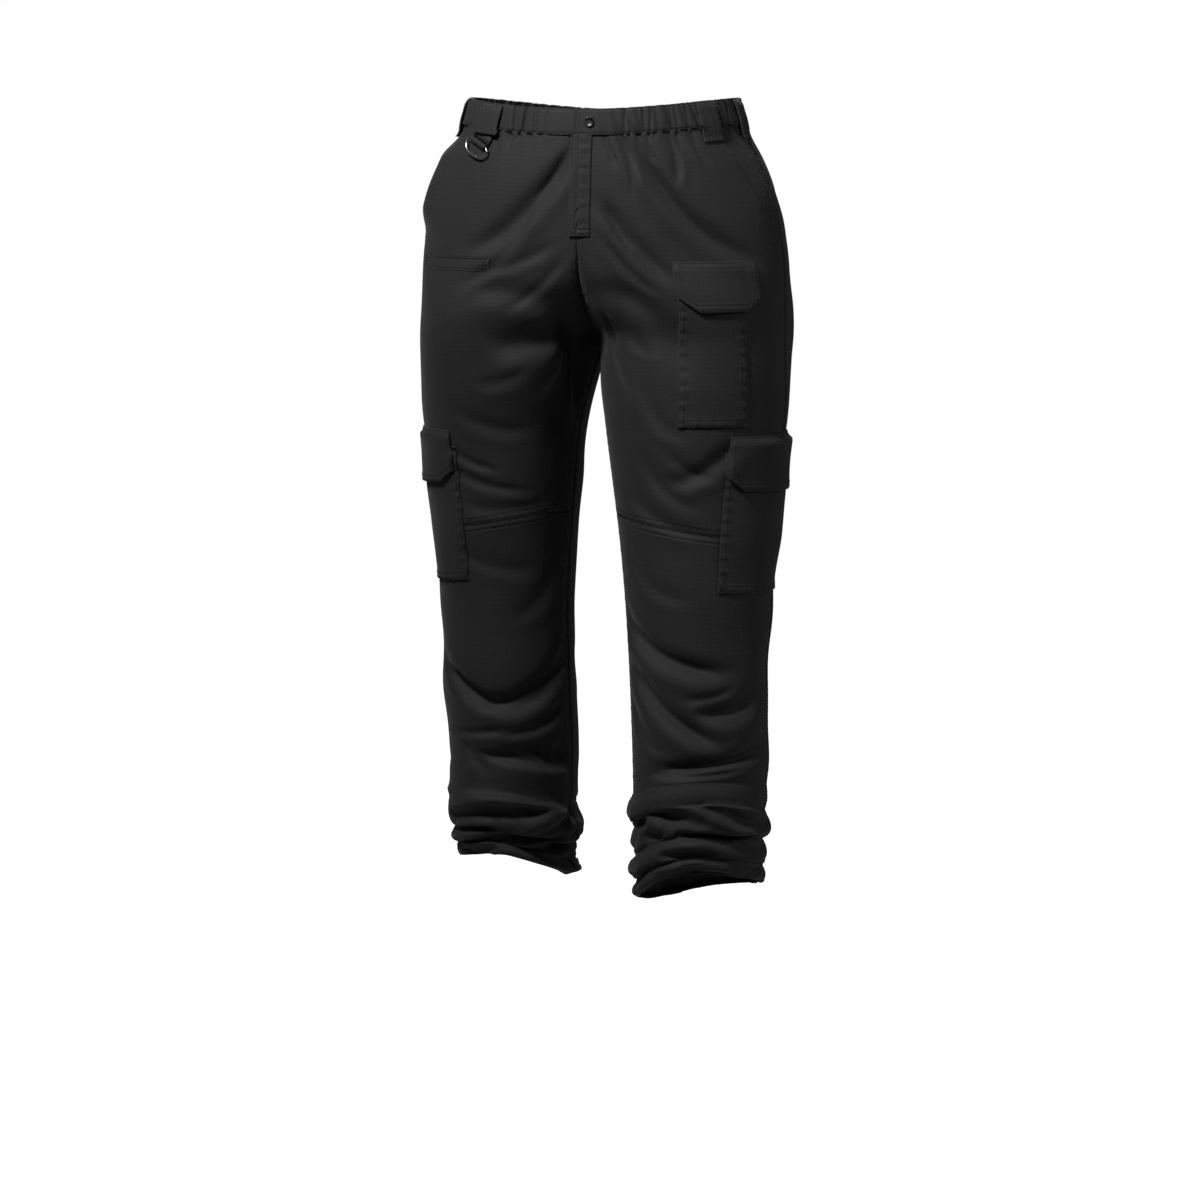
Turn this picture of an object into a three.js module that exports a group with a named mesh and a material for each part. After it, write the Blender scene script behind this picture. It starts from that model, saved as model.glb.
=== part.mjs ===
import * as THREE from 'three';
import { mergeVertices } from 'three/addons/utils/BufferGeometryUtils.js';

// Cargo trousers in dark ripstop cloth, worn and empty. Millimetres, +z up, +x to the wearer's left, -y to
// the front.
// The origin is the middle of the waist opening, where the wearer holds the garment up.
// A place on the cloth is (side, across, row): the leg, the millimetres from its side seam round the body
// (more than 0 to the front, less than 0 to the back) and the millimetres down the cloth from the waist.

// Cloth and seams
const CLOTH = 1.2;
const SEAM_GAP = 0.3;
const HALF_GAP = SEAM_GAP / 2;
const LEAST_X = HALF_GAP;
const SIGN = { right: -1, left: 1 };

// Levels down the garment
const BAND_ROW = 28;
const FLY_END_ROW = 138;
const SLASH_END_ROW = 150;
const CROTCH_ROW = 250;
const KNEE_ROW = 464;
const HEM_ROW = 848;

// Share of a half section that belongs to the front panel
const FRONT_SHARE = 0.47;

// The waist and hips: drop below the waist, half the width, depth in front of and behind the middle
const TORSO = [
  { drop: -30, half: 142, front: 104, behind: 104 },
  { drop: 0, half: 148, front: 108, behind: 112 },
  { drop: 28, half: 157, front: 112, behind: 121 },
  { drop: 60, half: 173, front: 117, behind: 131 },
  { drop: 100, half: 189, front: 121, behind: 139 },
  { drop: 147, half: 198, front: 123, behind: 142 },
  { drop: 190, half: 201, front: 120, behind: 138 },
  { drop: 225, half: 202, front: 114, behind: 131 },
  { drop: 250, half: 203, front: 108, behind: 124 },
];
const TORSO_SQUARENESS = 2.25;
const THIGH_SQUARENESS = 2.5;
const THIGH_BACK = 8;
// The rise curves from upright to level over this height above the crotch
const RISE_BEND = 118;
const RISE_SQUARENESS = 2.2;
// Past this angle from its outer side a section above the crotch is drawn in to the middle
const CLOSING_ANGLE = 45;

// Each leg: how far out and back its middle lies, half the width, half the depth, squareness of the section,
// and how far the inseam is turned to the front in degrees
const LEG = {
  right: [
    { drop: 250, out: 102, back: 8, half: 101, depth: 116, square: 2.5, turn: 0 },
    { drop: 300, out: 109, back: 8, half: 94, depth: 106, square: 2.4, turn: 4 },
    { drop: 345, out: 115, back: 12, half: 89, depth: 97, square: 2.2, turn: 8 },
    { drop: 412, out: 116, back: 19, half: 83, depth: 89, square: 2.1, turn: 12 },
    { drop: 457, out: 117, back: 23, half: 79, depth: 84, square: 2.1, turn: 12 },
    { drop: 548, out: 119, back: 32, half: 73.5, depth: 77, square: 2.1, turn: 12 },
    { drop: 640, out: 118.5, back: 40, half: 73, depth: 76, square: 2.1, turn: 12 },
    { drop: 730, out: 116, back: 48, half: 71, depth: 74, square: 2.1, turn: 12 },
    { drop: 780, out: 117, back: 53, half: 67, depth: 70, square: 2.1, turn: 12 },
    { drop: 870, out: 116, back: 60, half: 61, depth: 64, square: 2.1, turn: 12 },
  ],
  left: [
    { drop: 250, out: 102, back: 8, half: 101, depth: 116, square: 2.5, turn: 0 },
    { drop: 300, out: 102.5, back: -3, half: 100.5, depth: 108, square: 2.4, turn: 4 },
    { drop: 345, out: 105, back: -12, half: 97, depth: 101, square: 2.2, turn: 8 },
    { drop: 405, out: 107, back: -19, half: 90, depth: 93, square: 2.1, turn: 12 },
    { drop: 448, out: 109, back: -23, half: 85.5, depth: 88, square: 2.1, turn: 12 },
    { drop: 534, out: 113, back: -32, half: 79, depth: 82, square: 2.1, turn: 12 },
    { drop: 620, out: 115.5, back: -40, half: 74.5, depth: 78, square: 2.1, turn: 12 },
    { drop: 707, out: 118.5, back: -48, half: 72.5, depth: 75, square: 2.1, turn: 12 },
    { drop: 750, out: 119, back: -53, half: 71, depth: 72, square: 2.1, turn: 12 },
    { drop: 870, out: 121, back: -60, half: 64, depth: 64, square: 2.1, turn: 12 },
  ],
};

// The waist edge: lower at the front and back than at the sides
const WAIST_MEAN = -2;
const WAIST_WAVE = 6;
const WAIST_BACK = 3;
const WAIST_FADE = [20, 170];
// The knee seam rises toward the inseam
const KNEE_LIFT = 24;
const KNEE_PEAK = 1.5;
const KNEE_FADE = [330, 464, 580];
// The hem's drop at shares of the way round: it hooks up over the front of the foot and sinks behind it
const HEM = {
  right: [
    { round: 0, drop: 856 },
    { round: 0.1, drop: 840 },
    { round: 0.21, drop: 827 },
    { round: 0.36, drop: 834 },
    { round: 0.5, drop: 842 },
    { round: 0.7, drop: 853 },
    { round: 0.85, drop: 859 },
    { round: 1, drop: 856 },
  ],
  left: [
    { round: 0, drop: 856 },
    { round: 0.06, drop: 847 },
    { round: 0.15, drop: 828 },
    { round: 0.26, drop: 818 },
    { round: 0.37, drop: 826 },
    { round: 0.49, drop: 838 },
    { round: 0.7, drop: 853 },
    { round: 0.9, drop: 864 },
    { round: 1, drop: 856 },
  ],
};
const HEM_FADE = [680, 768];
// The rolls of the stacked ankle sway up and down as they go round
const SWAY = {
  right: { height: 10, turns: 1, start: 0.05 },
  left: { height: 7, turns: 1, start: 0 },
};
const SWAY_FADE = [700, 768, 800, 848];

// Rolls of the stacked ankle: top row, how far each bulges, where round the leg it is fullest, and how much
// that varies
const ROLLS = {
  right: [
    { top: 730, bulge: 4, fullest: 0.6, varies: 0.4 },
    { top: 768, bulge: 12, fullest: 0.05, varies: 0.3 },
    { top: 812, bulge: 7, fullest: 0.45, varies: 0.3 },
    { top: 831, bulge: 9, fullest: 0.95, varies: 0.4 },
  ],
  left: [
    { top: 736, bulge: 8, fullest: 0.95, varies: 0.35 },
    { top: 768, bulge: 8, fullest: 0.45, varies: 0.3 },
    { top: 800, bulge: 10, fullest: 0.9, varies: 0.25 },
    { top: 829, bulge: 8, fullest: 0.9, varies: 0.3 },
  ],
};
// How far a roll's cloth gathers toward its creases, and how far its belly sags, as shares of its height
const ROLL_GATHER = 0.55;
const ROLL_SAG = 0.12;

// The largest folds: where each starts and ends, how far its middle bows, its half width and its depth
const FOLDS = {
  right: [
    { across1: 214, row1: 44, across2: 140, row2: 152, bow: 15, width: 15, depth: 6 },
    { across1: 25, row1: 50, across2: 25, row2: 125, bow: 0, width: 34, depth: -8 },
    { across1: 150, row1: 196, across2: 230, row2: 212, bow: -4, width: 15, depth: 3 },
    { across1: 165, row1: 258, across2: 235, row2: 238, bow: 6, width: 17, depth: 5 },
    { across1: 240, row1: 212, across2: 280, row2: 330, bow: 0, width: 17, depth: 5 },
    { across1: 62, row1: 622, across2: 204, row2: 620, bow: 34, width: 13, depth: 6 },
    { across1: 110, row1: 726, across2: 240, row2: 716, bow: -8, width: 15, depth: 5 },
    { across1: -60, row1: 196, across2: -220, row2: 150, bow: 12, width: 20, depth: 2.5 },
    { across1: -70, row1: 300, across2: -215, row2: 272, bow: 12, width: 18, depth: 4 },
    { across1: -60, row1: 470, across2: -200, row2: 448, bow: 14, width: 16, depth: 6 },
    { across1: -50, row1: 520, across2: -190, row2: 540, bow: -14, width: 16, depth: 5 },
    { across1: -60, row1: 650, across2: -200, row2: 622, bow: 16, width: 15, depth: 5 },
    { across1: -40, row1: 722, across2: -190, row2: 735, bow: -10, width: 14, depth: 5 },
  ],
  left: [
    { across1: 158, row1: 52, across2: 72, row2: 160, bow: 18, width: 13, depth: 5 },
    { across1: 216, row1: 104, across2: 160, row2: 182, bow: 4, width: 12, depth: 4 },
    { across1: 230, row1: 194, across2: 150, row2: 275, bow: -14, width: 17, depth: 5 },
    { across1: 94, row1: 364, across2: 150, row2: 408, bow: 4, width: 12, depth: 4 },
    { across1: 214, row1: 555, across2: 82, row2: 604, bow: 8, width: 13, depth: 6 },
    { across1: 190, row1: 606, across2: 90, row2: 678, bow: 6, width: 12, depth: 6 },
    { across1: 102, row1: 648, across2: 40, row2: 634, bow: 4, width: 12, depth: 5 },
    { across1: 150, row1: 716, across2: 28, row2: 688, bow: 4, width: 13, depth: 6 },
    { across1: -66, row1: 190, across2: -210, row2: 144, bow: 10, width: 20, depth: 2.5 },
    { across1: -80, row1: 292, across2: -220, row2: 282, bow: 14, width: 18, depth: 4 },
    { across1: -60, row1: 452, across2: -200, row2: 470, bow: -14, width: 16, depth: 6 },
    { across1: -50, row1: 545, across2: -190, row2: 520, bow: 14, width: 16, depth: 5 },
    { across1: -60, row1: 630, across2: -190, row2: 660, bow: -16, width: 15, depth: 5 },
    { across1: -40, row1: 735, across2: -190, row2: 712, bow: 10, width: 14, depth: 5 },
  ],
};
// A trough raises the cloth a little along its lower edge, and a ridge, of a depth below 0, has no such lip
const FOLD_LIP = 0.35;
const FOLD_LIP_AWAY = 1.7;
const FOLD_END = 0.22;
// Folds run out toward the middle and inseam, within this share of the way round
const FOLD_HELD = 0.045;

// The waistband: how far it stands out and in, and its elastic gathers
const BAND_OUT = 1.2;
const BAND_IN = 1.2;
const GATHER_PITCH = 11;
const GATHER_HEIGHT = 1.2;
const GATHER_DRIFT = 0.16;
const GATHER_DRIFT_PITCH = 93;
const GATHER_FADE = 9;
// Columns of the band: the widest step where it lies plain, the least step, and how fine the wave is searched
const PLAIN_STEP = 16;
const LEAST_STEP = GATHER_PITCH / 4;
const SEARCH_STEP = 0.25;
const PLAIN_LIFT = 0.02;
const BAND_ROWS = [0, 5, 14, 22, BAND_ROW - HALF_GAP];
// Where the band lies plain, as distances round from the side seam
const PLAIN_BAND = {
  right: [
    { from: 68, to: 190 },
    { from: -15, to: 15 },
    { from: -240, to: -184 },
  ],
  left: [
    { from: 38, to: 78 },
    { from: 166, to: 240 },
    { from: -15, to: 15 },
    { from: -240, to: -184 },
  ],
};
// The left end of the waistband laps this far past the centre, and stands this much prouder there
const BAND_LAP = 3;
const LAP_RISE = 0.6;
const LAP_FADE = [18, 32];

// The slash pocket: how far from the side seam its mouth runs
const SLASH = [
  { row: 28, across: 51 },
  { row: 62, across: 47 },
  { row: 87, across: 42 },
  { row: 116, across: 30 },
  { row: 150, across: 9 },
];
const FACING_SINK = CLOTH + SEAM_GAP;

// Columns of each front and back, from the side seam, set on the pockets' edges, and how many follow to the
// middle
const COLUMNS = {
  right: { front: [0, 14, 34, 52, 78, 106, 130, 154], back: [0, 16, 38, 61, 84] },
  left: { front: [0, 14, 34, 60, 79, 96, 125, 154], back: [0, 18, 42, 68, 94] },
};
const SLASH_COLUMN = 3;
const CARGO_COLUMNS = { back: 4, front: 5 };
const PHONE_COLUMNS = { flap: 3, inner: 4, outer: 7 };
const INSET_ROW = 200;
const FRONT_MORE = 4;
const BACK_MORE = 5;
const FLY_EDGE = { right: 9, left: 13 };

// Rows of the panels, set on the pockets' edges
const PHONE = { flapTop: 165, top: 181, flapSide: 203, flapPoint: 219, bottom: 341 };
const CARGO = { flapTop: 351, top: 369, flapSide: 397, flapPoint: 411, bottom: 521 };
const UPPER_ROWS = [
  BAND_ROW, 42, 62, 87, 112, FLY_END_ROW, SLASH_END_ROW, PHONE.flapTop, PHONE.top, PHONE.flapSide,
  PHONE.flapPoint, 235.5, 246.3, CROTCH_ROW, 258, 272, 294, 317, PHONE.bottom, CARGO.flapTop, CARGO.top,
  CARGO.flapSide, CARGO.flapPoint, 438, KNEE_ROW,
];
const LOWER_ROWS = [KNEE_ROW, 492, CARGO.bottom, 550, 580, 610, 640, 670, 694, 713];
const ROLL_STEPS = 6;

// Pockets lie on the panel and puff out a little between their sewn edges
const CARGO_PUFF = { right: 3, left: 5.5 };
const PHONE_PUFF = 1.5;
const FLAP_PUFF = 1;
// How far above a pocket's lower edge its puff begins to fade
const CARGO_HANG = 60;
const PHONE_HANG = 40;

// The welt of the slit pocket on the right thigh
const WELT = { top: 166, bottom: 177, across: [52, 78, 106, 130, 154] };

// Belt loops: half width, and the rise of the strip off the cloth as it runs down
const LOOP_CLOTH = 1.6;
const LOOP_COLUMNS = 4;
const LOOP_RUN = [
  { row: 2, lift: 1.5 },
  { row: 7, lift: 3.4 },
  { row: 16, lift: 3.9 },
  { row: 26, lift: 3.7 },
  { row: 33, lift: 2.5 },
  { row: 38, lift: 1 },
  { row: 43, lift: 0.6 },
];
const RING_LOOP_RUN = [
  { row: 2, lift: 1.5 },
  { row: 7, lift: 3.7 },
  { row: 16, lift: 4.6 },
  { row: 26, lift: 4.9 },
  { row: 34, lift: 4.9 },
];
const LOOPS = [
  { name: 'belt_loop_front_right', side: 'right', across: 93, half: 16, run: RING_LOOP_RUN },
  { name: 'belt_loop_front_left', side: 'left', across: 61, half: 12, run: LOOP_RUN },
  { name: 'belt_loop_side_right', side: 'right', across: 0, half: 12, run: LOOP_RUN },
  { name: 'belt_loop_side_left', side: 'left', across: 0, half: 12, run: LOOP_RUN },
];
const BACK_LOOP_HALF = 12;

// The D-ring and the tab it swings in
const RING_ACROSS = 95;
const BAR_ROW = 43.5;
const BAR_LIFT = 3.8;
const WIRE = 1.2;
const RING_HALF = 18.8;
const RING_DROP = 15;
const RING_CORNER = 3;
const RING_SHOULDER = 1.5;
const RING_FLARE = 0.8;
const RING_BELLY = 0.9;
const BAR_STEPS = 4;
const TAB_HALF = 14;
const TAB_HOLE = WIRE + 0.5;
const TAB_CLOTH = 1.2;
const TAB_OFF = 0.6;
const TAB_LENGTH = 12.5;
const TAB_SEGMENTS = 12;
const WIRE_SIDES = 8;
const RING_BEND_STEPS = 14;

// The waist button: its place on the left end of the band, and its profile from the middle round to the dish
const BUTTON = { across: 11, row: 14, radius: 5.6 };
const BUTTON_PROFILE = [
  { out: 0, up: 0 },
  { out: 4.7, up: 0 },
  { out: 5.6, up: 0.9 },
  { out: 5.3, up: 1.9 },
  { out: 4.7, up: 2.2 },
  { out: 3.8, up: 1.7 },
  { out: 2, up: 1.3 },
  { out: 0, up: 1.3 },
];
const BUTTON_SIDES = 24;

const BLACK_CLOTH = { color: 0x2c2c2e, roughness: 0.85, metalness: 0 };
const STEEL = { color: 0xd8d8d8, roughness: 0.25, metalness: 1 };
const DARK_STEEL = { color: 0x4a4a4c, roughness: 0.35, metalness: 1 };

const clamp = THREE.MathUtils.clamp;
const radians = THREE.MathUtils.degToRad;

function smooth(from, to, x) {
  return THREE.MathUtils.smoothstep(x, from, to);
}

// A smooth line through one column of a table, held level past both ends.
function curveThrough(table, key, column) {
  const at = table.map((row) => row[key]);
  const value = table.map((row) => row[column]);
  const last = at.length - 1;
  const slope = value.map((v, i) => {
    if (i === 0) return (value[1] - v) / (at[1] - at[0]);
    if (i === last) return (v - value[i - 1]) / (at[i] - at[i - 1]);
    const before = at[i] - at[i - 1];
    const after = at[i + 1] - at[i];
    const rise = before ** 2 * value[i + 1] + (after ** 2 - before ** 2) * v - after ** 2 * value[i - 1];
    return rise / (before * after * (before + after));
  });
  return (x) => {
    const held = clamp(x, at[0], at[last]);
    let i = 0;
    while (i < last - 1 && at[i + 1] < held) i += 1;
    const step = at[i + 1] - at[i];
    const t = (held - at[i]) / step;
    return (2 * t ** 3 - 3 * t ** 2 + 1) * value[i] + (t ** 3 - 2 * t ** 2 + t) * step * slope[i]
      + (3 * t ** 2 - 2 * t ** 3) * value[i + 1] + (t ** 3 - t ** 2) * step * slope[i + 1];
  };
}

function curvesThrough(table, key, columns) {
  const curves = {};
  for (const column of columns) curves[column] = curveThrough(table, key, column);
  return curves;
}

// Sections of the garment are worked out at even drops, with their points evenly along each section.
const ALONG = 160;
const TRACE = 480;
const DROP_STEP = 2;
const FIRST_DROP = -30;
const LAST_DROP = 880;

function signedPower(a, power) {
  return Math.sign(a) * Math.abs(a) ** power;
}

// An oval traced by angle from -180 at its inner side, through -90 at the front and 0 outside, to 180.
function tracedOval({ middle, out, inner, half, front, behind, square, start, end }) {
  const points = [];
  for (let i = 0; i <= TRACE; i += 1) {
    const angle = start + (end - start) * i / TRACE;
    const width = Math.abs(angle) > 90 ? inner : half;
    const depth = angle < 0 ? front : behind;
    const x = out + width * signedPower(Math.cos(radians(angle)), 2 / square);
    const y = middle + depth * signedPower(Math.sin(radians(angle)), 2 / square);
    points.push([x, y]);
  }
  return points;
}

function lengthOf(points) {
  let length = 0;
  for (let i = 1; i < points.length; i += 1) {
    length += Math.hypot(points[i][0] - points[i - 1][0], points[i][1] - points[i - 1][1]);
  }
  return length;
}

function spreadEvenly(points) {
  const total = lengthOf(points);
  const spread = [];
  let i = 1;
  let done = 0;
  let step = Math.hypot(points[1][0] - points[0][0], points[1][1] - points[0][1]);
  for (let k = 0; k <= ALONG; k += 1) {
    const want = total * k / ALONG;
    while (done + step < want && i < points.length - 1) {
      done += step;
      i += 1;
      step = Math.hypot(points[i][0] - points[i - 1][0], points[i][1] - points[i - 1][1]);
    }
    const t = step > 0 ? clamp((want - done) / step, 0, 1) : 0;
    const x = points[i - 1][0] * (1 - t) + points[i][0] * t;
    const y = points[i - 1][1] * (1 - t) + points[i][1] * t;
    spread.push([x, y]);
  }
  return spread;
}

// Above the crotch a half section is open at the middle: it starts and ends on the rise, which curves from
// upright to level, and its foremost point moves out from the middle of the body to the middle of the thigh.
function bodySection(torso, drop) {
  const half = torso.half(drop);
  const front = torso.front(drop);
  const behind = torso.behind(drop);
  const t = clamp((CROTCH_ROW - drop) / RISE_BEND, 0, 1);
  const joined = smooth(0, 1, t);
  const rise = (1 - (1 - t) ** RISE_SQUARENESS) ** (1 / RISE_SQUARENESS);
  const square = THIGH_SQUARENESS + (TORSO_SQUARENESS - THIGH_SQUARENESS) * joined;
  const middle = THIGH_BACK * (1 - joined);
  const out = LEAST_X + (half - LEAST_X) / 2 * (1 - joined);
  const cutAngle = (reach, depth) => 180
    - Math.asin(clamp(reach / depth, 0, 1) ** (square / 2)) * 180 / Math.PI;
  const frontReach = middle - THIGH_BACK + (front + THIGH_BACK) * rise;
  const backReach = THIGH_BACK - middle + (behind - THIGH_BACK) * rise;
  const start = -cutAngle(frontReach, front + middle);
  const end = cutAngle(backReach, behind - middle);
  const points = tracedOval({
    middle, out, inner: out - LEAST_X, half: half - out, front: front + middle, behind: behind - middle,
    square, start, end,
  });
  return closeOnMiddle(points, start, end);
}

// Draws both ends of a section in to the middle of the body, less and less toward its outer side.
function closeOnMiddle(points, start, end) {
  const first = points[0][0] - LEAST_X;
  const last = points[points.length - 1][0] - LEAST_X;
  return points.map(([x, y], i) => {
    const angle = start + (end - start) * i / (points.length - 1);
    const nearFirst = 1 - smooth(start, -CLOSING_ANGLE, angle);
    const nearLast = smooth(CLOSING_ANGLE, end, angle);
    return [x - first * nearFirst - last * nearLast, y];
  });
}

function legSection(leg, drop) {
  const depth = leg.depth(drop);
  const turn = leg.turn(drop);
  return spreadEvenly(tracedOval({
    middle: leg.back(drop), out: leg.out(drop), inner: leg.half(drop), half: leg.half(drop),
    front: depth, behind: depth, square: leg.square(drop), start: -180 + turn, end: 180 + turn,
  }));
}

function tableSections(side) {
  const torso = curvesThrough(TORSO, 'drop', ['half', 'front', 'behind']);
  const leg = curvesThrough(LEG[side], 'drop', ['out', 'back', 'half', 'depth', 'square', 'turn']);
  const sections = [];
  for (let drop = FIRST_DROP; drop <= LAST_DROP; drop += DROP_STEP) {
    const section = drop < CROTCH_ROW ? spreadEvenly(bodySection(torso, drop)) : legSection(leg, drop);
    const points = section.map(([x, y]) => [Math.max(x, LEAST_X), y]);
    sections.push({ points, girth: lengthOf(points) });
  }
  return sections;
}

const SECTIONS = { right: tableSections('right'), left: tableSections('left') };

function placeIn(sections, drop) {
  const at = clamp((drop - FIRST_DROP) / DROP_STEP, 0, sections.length - 1.001);
  const i = Math.floor(at);
  return { i, t: at - i };
}

function girth(side, drop) {
  const { i, t } = placeIn(SECTIONS[side], drop);
  return SECTIONS[side][i].girth * (1 - t) + SECTIONS[side][i + 1].girth * t;
}

// A point of the smooth form before folds: u runs 0 to 1 round the half section from front to back.
function formPoint(side, u, drop) {
  const sections = SECTIONS[side];
  const { i, t } = placeIn(sections, drop);
  const along = clamp(u, 0, 1) * ALONG;
  const j = Math.min(Math.floor(along), ALONG - 1);
  const s = along - j;
  const corner = (a, b, axis) => sections[a].points[b][axis];
  const value = (axis) => (corner(i, j, axis) * (1 - s) + corner(i, j + 1, axis) * s) * (1 - t)
    + (corner(i + 1, j, axis) * (1 - s) + corner(i + 1, j + 1, axis) * s) * t;
  return new THREE.Vector3(SIGN[side] * value(0), value(1), -drop);
}

const FORM_STEP_U = 0.006;
const FORM_STEP_DROP = 2;

function formNormal(side, u, drop) {
  const round = formPoint(side, u + FORM_STEP_U, drop).sub(formPoint(side, u - FORM_STEP_U, drop));
  const down = formPoint(side, u, drop + FORM_STEP_DROP).sub(formPoint(side, u, drop - FORM_STEP_DROP));
  return down.cross(round).multiplyScalar(SIGN[side]).normalize();
}

const HEM_CURVE = {
  right: curveThrough(HEM.right, 'round', 'drop'),
  left: curveThrough(HEM.left, 'round', 'drop'),
};

// The drop below the waist of a row of the cloth: the waist, the knee seam and the hem aren't level.
function dropOf(side, u, row) {
  const waist = WAIST_MEAN + WAIST_WAVE * Math.cos(2 * Math.PI * u) + WAIST_BACK * u ** 2;
  const waistShare = 1 - smooth(WAIST_FADE[0], WAIST_FADE[1], row);
  const knee = -KNEE_LIFT * ((1 + Math.cos(2 * Math.PI * u)) / 2) ** KNEE_PEAK;
  const kneeShare = smooth(KNEE_FADE[0], KNEE_FADE[1], row) * (1 - smooth(KNEE_FADE[1], KNEE_FADE[2], row));
  const hem = HEM_CURVE[side](u) - HEM_ROW;
  const hemShare = smooth(HEM_FADE[0], HEM_FADE[1], row);
  const sway = SWAY[side].height * Math.sin(2 * Math.PI * (SWAY[side].turns * u + SWAY[side].start));
  const swayShare = smooth(SWAY_FADE[0], SWAY_FADE[1], row) * (1 - smooth(SWAY_FADE[2], SWAY_FADE[3], row));
  return row + waist * waistShare + knee * kneeShare + hem * hemShare + sway * swayShare;
}

// How far one fold pushes the cloth out, less than 0 in its trough.
function foldPush(fold, across, row) {
  const runAcross = fold.across2 - fold.across1;
  const runDown = fold.row2 - fold.row1;
  const length = Math.hypot(runAcross, runDown);
  const fromAcross = across - fold.across1;
  const fromRow = row - fold.row1;
  const t = (fromAcross * runAcross + fromRow * runDown) / length ** 2;
  const ends = smooth(-FOLD_END, FOLD_END, t) * (1 - smooth(1 - FOLD_END, 1 + FOLD_END, t));
  if (ends === 0) return 0;
  const facing = runAcross < 0 ? -1 : 1;
  const away = facing * (fromRow * runAcross - fromAcross * runDown) / length - fold.bow * 4 * t * (1 - t);
  const trough = Math.exp(-((away / fold.width) ** 2));
  const lip = fold.depth > 0 ? FOLD_LIP * Math.exp(-((away / fold.width - FOLD_LIP_AWAY) ** 2)) : 0;
  return fold.depth * ends * (lip - trough);
}

// The stacked ankle: how far the cloth bulges and sinks in its rolls.
function stackShift(side, u, row) {
  const rolls = ROLLS[side];
  if (row <= rolls[0].top) return { out: 0, down: 0 };
  let k = rolls.length - 1;
  while (rolls[k].top > row) k -= 1;
  const roll = rolls[k];
  const height = (k + 1 < rolls.length ? rolls[k + 1].top : HEM_ROW) - roll.top;
  const t = clamp((row - roll.top) / height, 0, 1);
  const bulge = roll.bulge * (1 - roll.varies + roll.varies * Math.cos(2 * Math.PI * (u - roll.fullest)));
  const belly = (1 - Math.cos(2 * Math.PI * t)) / 2;
  const down = height * (ROLL_SAG * belly - ROLL_GATHER * Math.sin(2 * Math.PI * t) / (2 * Math.PI));
  return { out: bulge * belly, down };
}

function uOf(side, across, row) {
  return clamp(FRONT_SHARE - across / girth(side, row), 0, 1);
}

function clothPoint(side, across, row) {
  const u = uOf(side, across, row);
  const drop = dropOf(side, u, row);
  const stack = stackShift(side, u, row);
  const held = smooth(0, FOLD_HELD, u) * (1 - smooth(1 - FOLD_HELD, 1, u));
  let folds = 0;
  for (const fold of FOLDS[side]) folds += foldPush(fold, across, row);
  const point = formPoint(side, u, drop + stack.down);
  return point.addScaledVector(formNormal(side, u, drop + stack.down), stack.out + folds * held);
}

const CLOTH_STEP = 2.5;

function clothNormal(side, across, row) {
  const low = -girth(side, row) * (1 - FRONT_SHARE);
  const high = girth(side, row) * FRONT_SHARE;
  const held = clamp(across, low + CLOTH_STEP, high - CLOTH_STEP);
  const round = clothPoint(side, held - CLOTH_STEP, row).sub(clothPoint(side, held + CLOTH_STEP, row));
  const down = clothPoint(side, across, row + CLOTH_STEP).sub(clothPoint(side, across, row - CLOTH_STEP));
  return down.cross(round).multiplyScalar(SIGN[side]).normalize();
}

// A spot holds its point on the cloth and the way out from it. Spots of a sheet keep to their own side.
function spot(side, across, row) {
  return { side, point: clothPoint(side, across, row), normal: clothNormal(side, across, row) };
}

function lifted({ side, point, normal }, lift, free) {
  const moved = point.clone().addScaledVector(normal, lift);
  if (!free) moved.x = SIGN[side] * Math.max(moved.x * SIGN[side], LEAST_X);
  return moved;
}

// A closed wall on a grid of spots. Each spot's wall runs from inner to outer, and keep(i, j) gives which of
// the two triangles of a cell are cloth: 'both', 'none', or the corner that is cut off.
function wallGeometry(grid, { inner, outer, keep = () => 'both', free = false }) {
  const rows = grid.length;
  const columns = grid[0].length;
  const index = (i, j) => i * columns + j;
  const sheet = [];
  for (let i = 0; i < rows - 1; i += 1) {
    for (let j = 0; j < columns - 1; j += 1) {
      const corners = [index(i, j), index(i + 1, j), index(i + 1, j + 1), index(i, j + 1)];
      sheet.push(...cellTriangles(corners, keep(i, j)));
    }
  }
  const sheetAt = (lift) => grid.flatMap((line, i) => line.map((s, j) => lifted(s, lift(i, j), free)));
  const outerPoints = sheetAt(outer);
  const innerPoints = sheetAt(inner);
  const points = [...outerPoints, ...innerPoints];
  const under = outerPoints.length;
  const edges = new Map();
  const faces = [];
  for (const [a, b, c] of sheet) {
    faces.push([a, b, c], [a + under, c + under, b + under]);
    for (const [p, q] of [[a, b], [b, c], [c, a]]) {
      if (edges.has(`${q},${p}`)) edges.delete(`${q},${p}`);
      else edges.set(`${p},${q}`, [p, q]);
    }
  }
  for (const [p, q] of edges.values()) faces.push([q, p, p + under], [q, p + under, q + under]);
  return closedGeometry(points, faces);
}

function cellTriangles([a, b, c, d], kept) {
  if (kept === 'none') return [];
  if (kept === 'cut first low') return [[a, c, d]];
  if (kept === 'cut last low') return [[a, b, d]];
  return [[a, b, c], [a, c, d]];
}

// Faces the solid outward, whichever way its grid ran.
function closedGeometry(points, faces) {
  let volume = 0;
  for (const [a, b, c] of faces) {
    volume += points[a].dot(points[b].clone().cross(points[c]));
  }
  const order = volume > 0 ? ([a, b, c]) => [a, b, c] : ([a, b, c]) => [a, c, b];
  const used = [...new Set(faces.flat())];
  const renumbered = new Map(used.map((old, k) => [old, k]));
  const geometry = new THREE.BufferGeometry();
  const places = used.flatMap((k) => points[k].toArray());
  geometry.setAttribute('position', new THREE.Float32BufferAttribute(places, 3));
  geometry.setIndex(faces.flatMap((face) => order(face).map((k) => renumbered.get(k))));
  geometry.computeVertexNormals();
  return geometry;
}

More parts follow.
